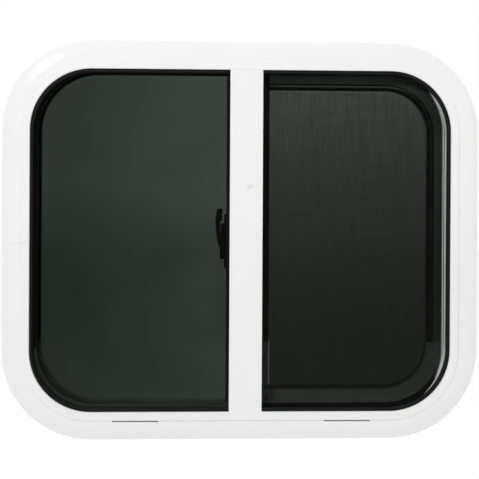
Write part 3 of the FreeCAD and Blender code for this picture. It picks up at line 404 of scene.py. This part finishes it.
def black_rubber():
    """EPDM rubber, extruded and cured: matt black, with a fine grain and a greyish bloom.

    Painted shade makes the inner half of the lip darker at the left jamb.
    """
    material, tree, place = new_material("extruded EPDM rubber")
    lip_drop = 3 * MM
    lip_shade_full, lip_shade_ends = -272 * MM, -240 * MM
    bloom = add(
        tree, "ShaderNodeTexNoise", {"Scale": 1 / (26 * MM), "Detail": 4.0}, {"Vector": place})
    tone = add(
        tree, "ShaderNodeMix",
        {"data_type": "RGBA", 6: linear("#101111"), 7: linear("#222323")},
        {"Factor": bloom.outputs["Fac"]})
    # Painted shade: the inner half of the lip darkens towards the left jamb.
    inner = add(
        tree, "ShaderNodeMapRange",
        {"From Min": -0.8 * MM, "From Max": 0.4 * MM, "To Min": 0.85, "To Max": 0.0},
        {"Value": past_edge(tree, place, LIP_CREST, MIDDLE_UP - lip_drop)})
    where = add(tree, "ShaderNodeSeparateXYZ", links={"Vector": place})
    left_side = add(
        tree, "ShaderNodeMapRange",
        {"From Min": lip_shade_full, "From Max": lip_shade_ends, "To Min": 1.0, "To Max": 0.0},
        {"Value": where.outputs["X"]})
    painted_lip_shade = add(
        tree, "ShaderNodeMath", {"operation": "MULTIPLY"},
        {0: inner.outputs[0], 1: left_side.outputs[0]})
    shaded_tone = add(
        tree, "ShaderNodeMix", {"data_type": "RGBA", 7: linear("#050505")},
        {"Factor": painted_lip_shade.outputs[0], 6: tone.outputs[2]})
    grain = add(
        tree, "ShaderNodeTexNoise", {"Scale": 1 / (0.6 * MM), "Detail": 2.0}, {"Vector": place})
    relief = add(
        tree, "ShaderNodeBump", {"Distance": 0.02 * MM}, {"Height": grain.outputs["Fac"]})
    shader = add(
        tree, "ShaderNodeBsdfPrincipled", {"Roughness": 0.7, "IOR": 1.5, "Specular IOR Level": 0.11},
        {"Base Color": shaded_tone.outputs[2], "Normal": relief.outputs[0]})
    add(tree, "ShaderNodeOutputMaterial", links={"Surface": shader.outputs[0]})
    return material


def spline_rubber():
    """Rubber cord that holds the mesh: dusty grey where it lies open; painted shade makes it black
    under the trim.

    Its half beside the mesh is dusty all the way.
    """
    material, tree, place = new_material("dusty rubber cord")
    bloom = add(
        tree, "ShaderNodeTexNoise", {"Scale": 1 / (6 * MM), "Detail": 4.0}, {"Vector": place})
    shaded_tone = add(
        tree, "ShaderNodeMix",
        {"data_type": "RGBA", 6: linear("#101111"), 7: linear("#1c1d1d")},
        {"Factor": bloom.outputs["Fac"]})
    dust = add(
        tree, "ShaderNodeMix",
        {"data_type": "RGBA", 6: linear("#aeb2aa"), 7: linear("#bfc3ba")},
        {"Factor": bloom.outputs["Fac"]})
    where = add(tree, "ShaderNodeSeparateXYZ", links={"Vector": place})
    # Painted shade: the outer half is black above where the trims end.
    open_end = add(
        tree, "ShaderNodeMath", {"operation": "LESS_THAN", 1: TRIM_ENDS}, {0: where.outputs["Z"]})
    inner_side = add(
        tree, "ShaderNodeMath", {"operation": "LESS_THAN", 1: 0.0},
        {0: past_edge(tree, place, SPLINE_MIDDLE)})
    dusted = add(
        tree, "ShaderNodeMath", {"operation": "MAXIMUM"},
        {0: open_end.outputs[0], 1: inner_side.outputs[0]})
    tone = add(
        tree, "ShaderNodeMix", {"data_type": "RGBA"},
        {"Factor": dusted.outputs[0], 6: shaded_tone.outputs[2], 7: dust.outputs[2]})
    relief = add(
        tree, "ShaderNodeBump", {"Distance": 0.02 * MM}, {"Height": bloom.outputs["Fac"]})
    shader = add(
        tree, "ShaderNodeBsdfPrincipled", {"Roughness": 0.8, "IOR": 1.5, "Specular IOR Level": 0.11},
        {"Base Color": tone.outputs[2], "Normal": relief.outputs[0]})
    add(tree, "ShaderNodeOutputMaterial", links={"Surface": shader.outputs[0]})
    return material


def black_flock():
    """Nylon flock blown on to glue: dead black, with short upright fibres and no gloss."""
    material, tree, place = new_material("black nylon flock")
    fibre = add(
        tree, "ShaderNodeTexNoise", {"Scale": 1 / (0.35 * MM), "Detail": 4.0}, {"Vector": place})
    tone = add(
        tree, "ShaderNodeMix",
        {"data_type": "RGBA", 6: linear("#0b0b0a"), 7: linear("#191a17")},
        {"Factor": fibre.outputs["Fac"]})
    relief = add(
        tree, "ShaderNodeBump", {"Distance": 0.15 * MM}, {"Height": fibre.outputs["Fac"]})
    shader = add(
        tree, "ShaderNodeBsdfPrincipled", {"Roughness": 1.0, "Specular IOR Level": 0.03},
        {"Base Color": tone.outputs[2], "Normal": relief.outputs[0]})
    add(tree, "ShaderNodeOutputMaterial", links={"Surface": shader.outputs[0]})
    return material


def trim_flock():
    """The same flock on the screen's trim, worn thin and dusty on the raised face.

    The face nearest the glass is greener and greyer than the step behind it. Painted shade
    makes it darker on the jamb and at the rib beside the mesh.
    """
    material, tree, place = new_material("worn nylon flock")
    face_back = 21.2 * MM
    jamb_starts, jamb_full = 225 * MM, 262 * MM
    where = add(tree, "ShaderNodeSeparateXYZ", links={"Vector": place})
    raised = add(
        tree, "ShaderNodeMapRange",
        {"From Min": face_back - 0.2 * MM, "From Max": face_back + 0.2 * MM,
         "To Min": 1.0, "To Max": 0.0},
        {"Value": where.outputs["Y"]})
    # Painted shade: darker inside the rib and towards the right jamb.
    rib = add(
        tree, "ShaderNodeMapRange",
        {"From Min": -1 * MM, "From Max": 0.5 * MM, "To Min": 0.3, "To Max": 1.0},
        {"Value": past_edge(tree, place, TRIM_RIB)})
    jamb = add(
        tree, "ShaderNodeMapRange",
        {"From Min": jamb_starts, "From Max": jamb_full, "To Min": 1.0, "To Max": 0.55},
        {"Value": where.outputs["X"]})
    shade = add(
        tree, "ShaderNodeMath", {"operation": "MULTIPLY"},
        {0: rib.outputs[0], 1: jamb.outputs[0]})
    face = add(
        tree, "ShaderNodeMath", {"operation": "MULTIPLY"},
        {0: raised.outputs[0], 1: shade.outputs[0]})
    fibre = add(
        tree, "ShaderNodeTexNoise", {"Scale": 1 / (0.35 * MM), "Detail": 4.0}, {"Vector": place})
    worn = add(
        tree, "ShaderNodeTexNoise", {"Scale": 1 / (9 * MM), "Detail": 5.0}, {"Vector": place})
    dust = add(
        tree, "ShaderNodeMix",
        {"data_type": "RGBA", 6: linear("#b4beb4"), 7: linear("#d6dfd5")},
        {"Factor": worn.outputs["Fac"]})
    tone = add(
        tree, "ShaderNodeMix", {"data_type": "RGBA", 6: linear("#0a0a0a")},
        {"Factor": face.outputs[0], 7: dust.outputs[2]})
    relief = add(
        tree, "ShaderNodeBump", {"Distance": 0.15 * MM}, {"Height": fibre.outputs["Fac"]})
    shader = add(
        tree, "ShaderNodeBsdfPrincipled", {"Roughness": 1.0, "Specular IOR Level": 0.03},
        {"Base Color": tone.outputs[2], "Normal": relief.outputs[0]})
    add(tree, "ShaderNodeOutputMaterial", links={"Surface": shader.outputs[0]})
    return material


def grey_sill_plastic():
    """Grey-green rigid PVC, extruded: satin, with road dust that has settled in patches."""
    material, tree, place = new_material("extruded grey PVC")
    patch = add(
        tree, "ShaderNodeTexNoise", {"Scale": 1 / (14 * MM), "Detail": 4.0}, {"Vector": place})
    tone = add(
        tree, "ShaderNodeMix",
        {"data_type": "RGBA", 6: linear("#1e231f"), 7: linear("#2e342f")},
        {"Factor": patch.outputs["Fac"]})
    grit = add(
        tree, "ShaderNodeTexNoise", {"Scale": 1 / (0.5 * MM), "Detail": 2.0}, {"Vector": place})
    relief = add(
        tree, "ShaderNodeBump", {"Distance": 0.02 * MM}, {"Height": grit.outputs["Fac"]})
    shader = add(
        tree, "ShaderNodeBsdfPrincipled", {"Roughness": 0.55, "IOR": 1.53, "Specular IOR Level": 0.15},
        {"Base Color": tone.outputs[2], "Normal": relief.outputs[0]})
    add(tree, "ShaderNodeOutputMaterial", links={"Surface": shader.outputs[0]})
    return material


def silted_nylon():
    """Black moulded nylon whose outdoor face is grey with the silt that the sill holds."""
    material, tree, place = new_material("moulded nylon with silt")
    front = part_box("screen_corner_bottom")[0].y
    where = add(tree, "ShaderNodeSeparateXYZ", links={"Vector": place})
    outdoor = add(
        tree, "ShaderNodeMath", {"operation": "LESS_THAN", 1: front + SKIN},
        {0: where.outputs["Y"]})
    patch = add(
        tree, "ShaderNodeTexNoise", {"Scale": 1 / (4 * MM), "Detail": 4.0}, {"Vector": place})
    silt = add(
        tree, "ShaderNodeMix",
        {"data_type": "RGBA", 6: linear("#979d95"), 7: linear("#aab0a8")},
        {"Factor": patch.outputs["Fac"]})
    tone = add(
        tree, "ShaderNodeMix", {"data_type": "RGBA", 6: linear("#0c0c0c")},
        {"Factor": outdoor.outputs[0], 7: silt.outputs[2]})
    shader = add(
        tree, "ShaderNodeBsdfPrincipled", {"Roughness": 0.7, "IOR": 1.5, "Specular IOR Level": 0.2},
        {"Base Color": tone.outputs[2]})
    add(tree, "ShaderNodeOutputMaterial", links={"Surface": shader.outputs[0]})
    return material


def black_anodised_aluminium():
    """Extruded aluminium, etched and dyed black in the anodic layer.

    It is satin, with the upright die lines of the extrusion in tone and gloss.
    """
    material, tree, place = new_material("black anodised aluminium")
    drawn = add(tree, "ShaderNodeMapping", {"Scale": (1, 1, 0.01)}, {"Vector": place})
    lines = add(
        tree, "ShaderNodeTexNoise", {"Scale": 1 / (0.4 * MM), "Detail": 3.0},
        {"Vector": drawn.outputs[0]})
    tone = add(
        tree, "ShaderNodeMix",
        {"data_type": "RGBA", 6: linear("#090a0a"), 7: linear("#131414")},
        {"Factor": lines.outputs["Fac"]})
    gloss = add(
        tree, "ShaderNodeMapRange",
        {"From Min": 0.3, "From Max": 0.7, "To Min": 0.3, "To Max": 0.46},
        {"Value": lines.outputs["Fac"]})
    relief = add(
        tree, "ShaderNodeBump", {"Distance": 0.008 * MM}, {"Height": lines.outputs["Fac"]})
    shader = add(
        tree, "ShaderNodeBsdfPrincipled", {"Metallic": 0.5, "Specular IOR Level": 0.12},
        {"Base Color": tone.outputs[2], "Roughness": gloss.outputs[0],
         "Normal": relief.outputs[0]})
    add(tree, "ShaderNodeOutputMaterial", links={"Surface": shader.outputs[0]})
    return material


def screen_stile_finish():
    """Black anodised like the other, with a flocked face down to where the trims end.

    Below that the bare stile is dusty, and its edge beside the mesh has a painted highlight.
    """
    material, tree, place = new_material("flocked and bare anodised aluminium")
    dirt = add(
        tree, "ShaderNodeTexNoise", {"Scale": 1 / (7 * MM), "Detail": 4.0}, {"Vector": place})
    flocked = add(
        tree, "ShaderNodeMix",
        {"data_type": "RGBA", 6: linear("#0a0b0a"), 7: linear("#1a1c1a")},
        {"Factor": dirt.outputs["Fac"]})
    dusty = add(
        tree, "ShaderNodeMix",
        {"data_type": "RGBA", 6: linear("#bdc1b8"), 7: linear("#d3d6cc")},
        {"Factor": dirt.outputs["Fac"]})
    where = add(tree, "ShaderNodeSeparateXYZ", links={"Vector": place})
    stile_low, stile_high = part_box("screen_stile")
    # Painted highlight: a white line along the stile's edge beside the mesh.
    highlight_width = 1.3 * MM
    painted_edge_highlight = add(
        tree, "ShaderNodeMath", {"operation": "GREATER_THAN", 1: stile_high.x - highlight_width},
        {0: where.outputs["X"]})
    bare = add(
        tree, "ShaderNodeMix",
        {"data_type": "RGBA", 7: linear("#ffffff")},
        {"Factor": painted_edge_highlight.outputs[0], 6: dusty.outputs[2]})
    below = add(
        tree, "ShaderNodeMath", {"operation": "LESS_THAN", 1: TRIM_ENDS}, {0: where.outputs["Z"]})
    outdoor = add(
        tree, "ShaderNodeMath", {"operation": "LESS_THAN", 1: stile_low.y + SKIN},
        {0: where.outputs["Y"]})
    open_face = add(
        tree, "ShaderNodeMath", {"operation": "MULTIPLY"},
        {0: below.outputs[0], 1: outdoor.outputs[0]})
    tone = add(
        tree, "ShaderNodeMix", {"data_type": "RGBA"},
        {"Factor": open_face.outputs[0], 6: flocked.outputs[2], 7: bare.outputs[2]})
    relief = add(
        tree, "ShaderNodeBump", {"Distance": 0.03 * MM}, {"Height": dirt.outputs["Fac"]})
    shader = add(
        tree, "ShaderNodeBsdfPrincipled", {"Roughness": 0.7, "Specular IOR Level": 0.12},
        {"Base Color": tone.outputs[2], "Normal": relief.outputs[0]})
    add(tree, "ShaderNodeOutputMaterial", links={"Surface": shader.outputs[0]})
    return material


def run_plastic():
    """Rigid PVC of the run that the sliding pane stands in, dusty in patches.

    It is pale under the sliding pane, and dark with silt and painted shade behind the fixed
    one; it changes behind the mullion.
    """
    material, tree, place = new_material("extruded pale PVC")
    silt_and_shade_starts, silt_and_shade_full = -4 * MM, 24 * MM
    patch = add(
        tree, "ShaderNodeTexNoise", {"Scale": 1 / (14 * MM), "Detail": 4.0}, {"Vector": place})
    pale = add(
        tree, "ShaderNodeMix",
        {"data_type": "RGBA", 6: linear("#ced2cd"), 7: linear("#dee1dc")},
        {"Factor": patch.outputs["Fac"]})
    # Silt and painted shade: the run is dark behind the fixed pane.
    silt = add(
        tree, "ShaderNodeMix",
        {"data_type": "RGBA", 6: linear("#161817"), 7: linear("#242725")},
        {"Factor": patch.outputs["Fac"]})
    where = add(tree, "ShaderNodeSeparateXYZ", links={"Vector": place})
    behind_fixed = add(
        tree, "ShaderNodeMapRange", {"From Min": silt_and_shade_starts, "From Max": silt_and_shade_full},
        {"Value": where.outputs["X"]})
    tone = add(
        tree, "ShaderNodeMix", {"data_type": "RGBA"},
        {"Factor": behind_fixed.outputs[0], 6: pale.outputs[2], 7: silt.outputs[2]})
    grit = add(
        tree, "ShaderNodeTexNoise", {"Scale": 1 / (0.5 * MM), "Detail": 2.0}, {"Vector": place})
    relief = add(
        tree, "ShaderNodeBump", {"Distance": 0.02 * MM}, {"Height": grit.outputs["Fac"]})
    shader = add(
        tree, "ShaderNodeBsdfPrincipled", {"Roughness": 0.55, "IOR": 1.53},
        {"Base Color": tone.outputs[2], "Normal": relief.outputs[0]})
    add(tree, "ShaderNodeOutputMaterial", links={"Surface": shader.outputs[0]})
    return material


def mill_aluminium():
    """Aluminium as it leaves the press: bright grey, with drawn streaks."""
    material, tree, place = new_material("mill finish aluminium")
    drawn = add(tree, "ShaderNodeMapping", {"Scale": (1, 1, 0.02)}, {"Vector": place})
    streaks = add(
        tree, "ShaderNodeTexNoise", {"Scale": 1 / (0.5 * MM), "Detail": 4.0},
        {"Vector": drawn.outputs[0]})
    tone = add(
        tree, "ShaderNodeMix",
        {"data_type": "RGBA", 6: linear("#b9babb"), 7: linear("#d9dadb")},
        {"Factor": streaks.outputs["Fac"]})
    gloss = add(
        tree, "ShaderNodeMapRange",
        {"From Min": 0.3, "From Max": 0.7, "To Min": 0.28, "To Max": 0.46},
        {"Value": streaks.outputs["Fac"]})
    shader = add(
        tree, "ShaderNodeBsdfPrincipled", {"Metallic": 1.0},
        {"Base Color": tone.outputs[2], "Roughness": gloss.outputs[0]})
    add(tree, "ShaderNodeOutputMaterial", links={"Surface": shader.outputs[0]})
    return material


def zinc_plated_steel():
    """Cold-headed steel screws, zinc plated and clear passivated: cool grey, finely mottled."""
    material, tree, place = new_material("zinc plated steel")
    crystals = add(
        tree, "ShaderNodeTexVoronoi", {"Scale": 1 / (0.7 * MM)}, {"Vector": place})
    tone = add(
        tree, "ShaderNodeMix",
        {"data_type": "RGBA", 6: linear("#9c9fa1"), 7: linear("#c6c8c9")},
        {"Factor": crystals.outputs["Distance"]})
    gloss = add(
        tree, "ShaderNodeMapRange", {"From Max": 0.8, "To Min": 0.25, "To Max": 0.45},
        {"Value": crystals.outputs["Distance"]})
    shader = add(
        tree, "ShaderNodeBsdfPrincipled", {"Metallic": 1.0},
        {"Base Color": tone.outputs[2], "Roughness": gloss.outputs[0]})
    add(tree, "ShaderNodeOutputMaterial", links={"Surface": shader.outputs[0]})
    return material


def black_moulded_nylon():
    """Glass-filled nylon, injection moulded in a spark-eroded tool: a fine matt grain."""
    material, tree, place = new_material("moulded black nylon")
    flow = add(
        tree, "ShaderNodeTexNoise", {"Scale": 1 / (9 * MM), "Detail": 3.0}, {"Vector": place})
    tone = add(
        tree, "ShaderNodeMix",
        {"data_type": "RGBA", 6: linear("#0b0c0c"), 7: linear("#161717")},
        {"Factor": flow.outputs["Fac"]})
    grain = add(
        tree, "ShaderNodeTexVoronoi", {"Scale": 1 / (0.45 * MM)}, {"Vector": place})
    relief = add(
        tree, "ShaderNodeBump", {"Distance": 0.03 * MM}, {"Height": grain.outputs["Distance"]})
    shader = add(
        tree, "ShaderNodeBsdfPrincipled", {"Roughness": 0.5, "IOR": 1.53, "Specular IOR Level": 0.25},
        {"Base Color": tone.outputs[2], "Normal": relief.outputs[0]})
    add(tree, "ShaderNodeOutputMaterial", links={"Surface": shader.outputs[0]})
    return material


def satin_enamel():
    """Off-white enamel, stoved on roll-formed aluminium: satin, slightly uneven."""
    material, tree, place = new_material("stoved off-white enamel")
    cloud = add(
        tree, "ShaderNodeTexNoise", {"Scale": 1 / (30 * MM), "Detail": 3.0}, {"Vector": place})
    tone = add(
        tree, "ShaderNodeMix",
        {"data_type": "RGBA", 6: linear("#d5d7d3"), 7: linear("#e2e3df")},
        {"Factor": cloud.outputs["Fac"]})
    ripple = add(
        tree, "ShaderNodeTexNoise", {"Scale": 1 / (1.8 * MM), "Detail": 1.0}, {"Vector": place})
    relief = add(
        tree, "ShaderNodeBump", {"Distance": 0.01 * MM}, {"Height": ripple.outputs["Fac"]})
    shader = add(
        tree, "ShaderNodeBsdfPrincipled", {"Roughness": 0.42, "IOR": 1.5},
        {"Base Color": tone.outputs[2], "Normal": relief.outputs[0]})
    add(tree, "ShaderNodeOutputMaterial", links={"Surface": shader.outputs[0]})
    return material


def screen_yarn():
    """Glass yarn coated with PVC and woven: charcoal, with a slight shine.

    On the outdoor side road dust has caught on it, in streaks along the yarns both ways. Real
    streaks are one yarn wide, too fine to show, so these are drawn nearly two pitches wide.
    """
    material, tree, place = new_material("PVC-coated glass yarn")
    streak_width = 2.6 * MM
    stretch = 0.06
    upright = add(
        tree, "ShaderNodeMapping", {"Scale": (1, 1, stretch)}, {"Vector": place})
    level = add(
        tree, "ShaderNodeMapping", {"Scale": (stretch, 1, 1)}, {"Vector": place})
    warp = add(
        tree, "ShaderNodeTexNoise", {"Scale": 1 / streak_width, "Detail": 1.0},
        {"Vector": upright.outputs[0]})
    weft = add(
        tree, "ShaderNodeTexNoise", {"Scale": 1 / streak_width, "Detail": 1.0},
        {"Vector": level.outputs[0]})
    streaks = add(
        tree, "ShaderNodeMath", {"operation": "MULTIPLY_ADD", 1: 1.5},
        {0: warp.outputs["Fac"], 2: weft.outputs["Fac"]})
    dust = add(
        tree, "ShaderNodeMapRange", {"From Min": 1.1, "From Max": 1.4},
        {"Value": streaks.outputs[0]})
    where = add(tree, "ShaderNodeSeparateXYZ", links={"Vector": place})
    mesh_low, mesh_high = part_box("insect_mesh")
    outdoor = add(
        tree, "ShaderNodeMath", {"operation": "LESS_THAN", 1: (mesh_low.y + mesh_high.y) / 2},
        {0: where.outputs["Y"]})
    caught = add(
        tree, "ShaderNodeMath", {"operation": "MULTIPLY"},
        {0: dust.outputs[0], 1: outdoor.outputs[0]})
    tone = add(
        tree, "ShaderNodeMix",
        {"data_type": "RGBA", 6: linear("#131414"), 7: linear("#b9bcb5")},
        {"Factor": caught.outputs[0]})
    shader = add(
        tree, "ShaderNodeBsdfPrincipled", {"Roughness": 0.6, "IOR": 1.52, "Specular IOR Level": 0.3},
        {"Base Color": tone.outputs[2]})
    add(tree, "ShaderNodeOutputMaterial", links={"Surface": shader.outputs[0]})
    return material


FINISHES = {
    "white_powder_coat": gloss_powder_coat(),
    "tinted_glass": sash_glass(),
    "black_rubber": black_rubber(),
    "black_flock": black_flock(),
    "grey_sill": grey_sill_plastic(),
    "black_anodised": black_anodised_aluminium(),
    "mill_aluminium": mill_aluminium(),
    "black_nylon": black_moulded_nylon(),
    "screen_enamel": satin_enamel(),
    "screen_cloth": screen_yarn(),
}

# Some pieces differ from the others of their slot.
OWN_FINISHES = {
    "fixed_pane": fixed_glass(),
    "screen_trim": trim_flock(),
    "screen_spline": spline_rubber(),
    "screen_stile": screen_stile_finish(),
    "glass_run_sill": run_plastic(),
    "screen_corner_bottom": silted_nylon(),
}

for part in frame["record"]["subparts"]:
    piece = nodes[part["node"]]
    finish = OWN_FINISHES.get(part["node"], FINISHES[part["material_slot"]])
    for material_slot in piece.material_slots:
        material_slot.material = finish

# Light reaches what stands behind the panes, as it does through real tinted glass.
for pane in ("fixed_pane", "sash_pane"):
    nodes[pane].visible_shadow = False


# Pieces that the solids leave out

ZINC = zinc_plated_steel()


def finished(name, shape, slot_name, material=None):
    """A mesh in the row frame that rides with the window."""
    bmesh.ops.recalc_face_normals(shape, faces=shape.faces)
    mesh = bpy.data.meshes.new(name)
    shape.to_mesh(mesh)
    shape.free()
    made = bpy.data.objects.new(name, mesh)
    bpy.context.scene.collection.objects.link(made)
    mesh.materials.append(material or FINISHES[slot_name])
    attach(made, "root")
    return made


def bar(shape, centre, extent):
    """A block added to a shape, with its middle at centre."""
    place = Matrix.Translation(centre) @ Matrix.Diagonal((*extent, 1))
    bmesh.ops.create_cube(shape, size=1, matrix=place)


def insect_screen():
    """Yarns 0.33 mm thick and 1.5 mm apart, cut to the rounded frame.

    The upright ones lie on the outdoor side of the level ones and touch them.
    """
    low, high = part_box("insect_mesh")
    pitch = 1.5 * MM
    yarn = 0.33 * MM
    pressed = yarn * 0.7
    lift = yarn * 0.3
    middle = (low.y + high.y) / 2
    middle_up = (low.z + high.z) / 2
    radius = 63.4 * MM
    shape = bmesh.new()

    def shortened(distance):
        """How much a yarn loses at an end whose corner begins at distance."""
        inside = radius - distance
        if inside <= 0:
            return 0.0
        return radius - math.sqrt(max(0.0, radius * radius - inside * inside))

    count = int((high.x - low.x) / pitch)
    for index in range(count):
        x = low.x + (index + 0.5) * pitch
        cut = shortened(high.x - x)
        length = high.z - low.z - 2 * cut
        bar(shape, (x, middle - lift, middle_up), (yarn, pressed, length))
    count = int((high.z - low.z) / pitch)
    for index in range(count):
        z = low.z + (index + 0.5) * pitch
        cut = shortened(min(z - low.z, high.z - z))
        length = high.x - cut - low.x
        bar(shape, (low.x + length / 2, middle + lift, z), (length, pressed, yarn))
    made = finished("woven_screen", shape, "screen_cloth")
    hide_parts("insect_mesh")


def screw_heads(name, places, seat, radius, height):
    """Cross-recess screw heads in one mesh: places are x and z, seat is the y they stand on."""
    shape = bmesh.new()
    crown = seat + height
    nearly = height * 0.01
    rounding = height * 0.45
    slot = radius * 0.16
    reach = radius * 0.62
    recess_depth = height * 0.6
    bmesh.ops.create_cone(
        shape, cap_ends=True, segments=20, radius1=radius, radius2=radius, depth=height,
        matrix=Matrix.Translation((0, seat + height / 2, 0)) @ Matrix.Rotation(math.pi / 2, 4, "X"))
    rim = [
        edge for edge in shape.edges
        if all(abs(corner.co.y - crown) < nearly for corner in edge.verts)]
    bmesh.ops.bevel(
        shape, geom=rim, offset=rounding, offset_type="OFFSET", segments=3, profile=0.5,
        affect="EDGES", material=-1)
    for axis in ((1, 0, 0), (0, 0, 1)):
        for distance in (-reach, -slot, slot, reach):
            bmesh.ops.bisect_plane(
                shape, geom=shape.verts[:] + shape.edges[:] + shape.faces[:],
                plane_co=Vector(axis) * distance, plane_no=axis)
    recess = []
    for face in shape.faces:
        middle = face.calc_center_median()
        across, up = sorted((abs(middle.x), abs(middle.z)))
        if abs(middle.y - crown) < nearly and across < slot and up < reach:
            recess.append(face)
    pushed = bmesh.ops.extrude_face_region(shape, geom=recess)["geom"]
    bmesh.ops.delete(shape, geom=recess, context="FACES")
    floor = [part for part in pushed if isinstance(part, bmesh.types.BMVert)]
    bmesh.ops.translate(shape, verts=floor, vec=(0, -recess_depth, 0))
    first = shape.verts[:] + shape.edges[:] + shape.faces[:]
    for x, z in places[1:]:
        copy = bmesh.ops.duplicate(shape, geom=first)["geom"]
        moved = [part for part in copy if isinstance(part, bmesh.types.BMVert)]
        bmesh.ops.translate(shape, verts=moved, vec=(x, 0, z))
    bmesh.ops.translate(
        shape, verts=[part for part in first if isinstance(part, bmesh.types.BMVert)],
        vec=(places[0][0], 0, places[0][1]))
    finished(name, shape, "mill_aluminium", ZINC)


insect_screen()

# Eight screws hold the clamping ring, two along each side.
ring_low, ring_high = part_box("clamp_ring")
screws_across = 120 * MM
screws_up = 90 * MM
middle_up = (ring_low.z + ring_high.z) / 2
side_hole = 291.7 * MM
head_hole = 239.2 * MM
countersink = 1.9 * MM
screw_heads(
    "ring_screws",
    [(side * screws_across, middle_up + end * head_hole) for side in (-1, 1) for end in (-1, 1)]
    + [(side * side_hole, middle_up + end * screws_up) for side in (-1, 1) for end in (-1, 1)],
    seat=ring_high.y - countersink, radius=2.1 * MM, height=1.7 * MM)

# Two screws hold the latch to the meeting stile.
latch_low, latch_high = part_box("latch_body")
screw_inset = 9.2 * MM
screw_across = -8.6 * MM
screw_heads(
    "latch_screws",
    [(screw_across, latch_low.z + screw_inset), (screw_across, latch_high.z - screw_inset)],
    seat=latch_high.y, radius=2.5 * MM, height=1.3 * MM)


# Stage: a white room. Lamps and the world light the window at a plain level.

def seen_rays(tree):
    """1 for camera, mirror and glass rays, 0 for the rays that light the object."""
    rays = add(tree, "ShaderNodeLightPath")
    direct = add(
        tree, "ShaderNodeMath", {"operation": "ADD", "use_clamp": True},
        {0: rays.outputs["Is Camera Ray"], 1: rays.outputs["Is Transmission Ray"]})
    return add(
        tree, "ShaderNodeMath", {"operation": "ADD", "use_clamp": True},
        {0: direct.outputs[0], 1: rays.outputs["Is Glossy Ray"]})


def stage_material():
    """Matt white paper that shows white, with the object's shadow."""
    glow_part = 0.92
    glow_strength = 1.04
    material = bpy.data.materials.new("white studio paper")
    material.use_nodes = True
    tree = material.node_tree
    tree.nodes.clear()
    glow_share = add(
        tree, "ShaderNodeMath", {"operation": "MULTIPLY", 1: glow_part},
        {0: seen_rays(tree).outputs[0]})
    paper = add(tree, "ShaderNodeBsdfDiffuse", {"Color": linear("#fafafa")})
    glow = add(tree, "ShaderNodeEmission", {"Color": (1, 1, 1, 1), "Strength": glow_strength})
    lit = add(
        tree, "ShaderNodeMixShader",
        links={0: glow_share.outputs[0], 1: paper.outputs[0], 2: glow.outputs[0]})
    add(tree, "ShaderNodeOutputMaterial", links={"Surface": lit.outputs[0]})
    return material


def studio():
    """The paper floor below the window, the white world, and four lamps that aren't seen."""
    floor_half = 6
    floor_level = -0.75
    light_level = 0.21
    shape = bmesh.new()
    bmesh.ops.create_grid(
        shape, x_segments=1, y_segments=1, size=floor_half,
        matrix=Matrix.Translation((0, 0, floor_level)))
    mesh = bpy.data.meshes.new("studio_floor")
    shape.to_mesh(mesh)
    shape.free()
    floor = bpy.data.objects.new("studio_floor", mesh)
    bpy.context.scene.collection.objects.link(floor)
    mesh.materials.append(stage_material())

    world = bpy.data.worlds.new("white studio")
    bpy.context.scene.world = world
    world.use_nodes = True
    tree = world.node_tree
    tree.nodes.clear()
    strength = add(
        tree, "ShaderNodeMapRange", {"To Min": light_level, "To Max": 1.0},
        {"Value": seen_rays(tree).outputs[0]})
    air = add(
        tree, "ShaderNodeBackground", {"Color": (1, 1, 1, 1)},
        {"Strength": strength.outputs[0]})
    add(tree, "ShaderNodeOutputWorld", links={"Surface": air.outputs[0]})

    def lamp(name, place, size, watts, mirrored=False):
        """A round lamp aimed at the window's middle."""
        data = bpy.data.lights.new(name, "AREA")
        data.shape = "DISK"
        data.size = size
        data.energy = watts
        made = bpy.data.objects.new(name, data)
        made.location = place
        made.rotation_euler = (aim - made.location).to_track_quat("-Z", "Y").to_euler()
        made.visible_camera = False
        made.visible_transmission = False
        made.visible_glossy = mirrored
        bpy.context.scene.collection.objects.link(made)

    aim = Vector((0, 0, 0.25))
    lamp("key", (-1.47, -2.0, 1.35), size=0.3, watts=22, mirrored=True)
    lamp("top", (0.2, -1.9, 2.3), size=1.0, watts=27.5)
    lamp("fill", (1.8, -2.4, 0.3), size=1.6, watts=13.1)
    lamp("room", (0.3, 2.2, 1.4), size=1.4, watts=34)


studio()
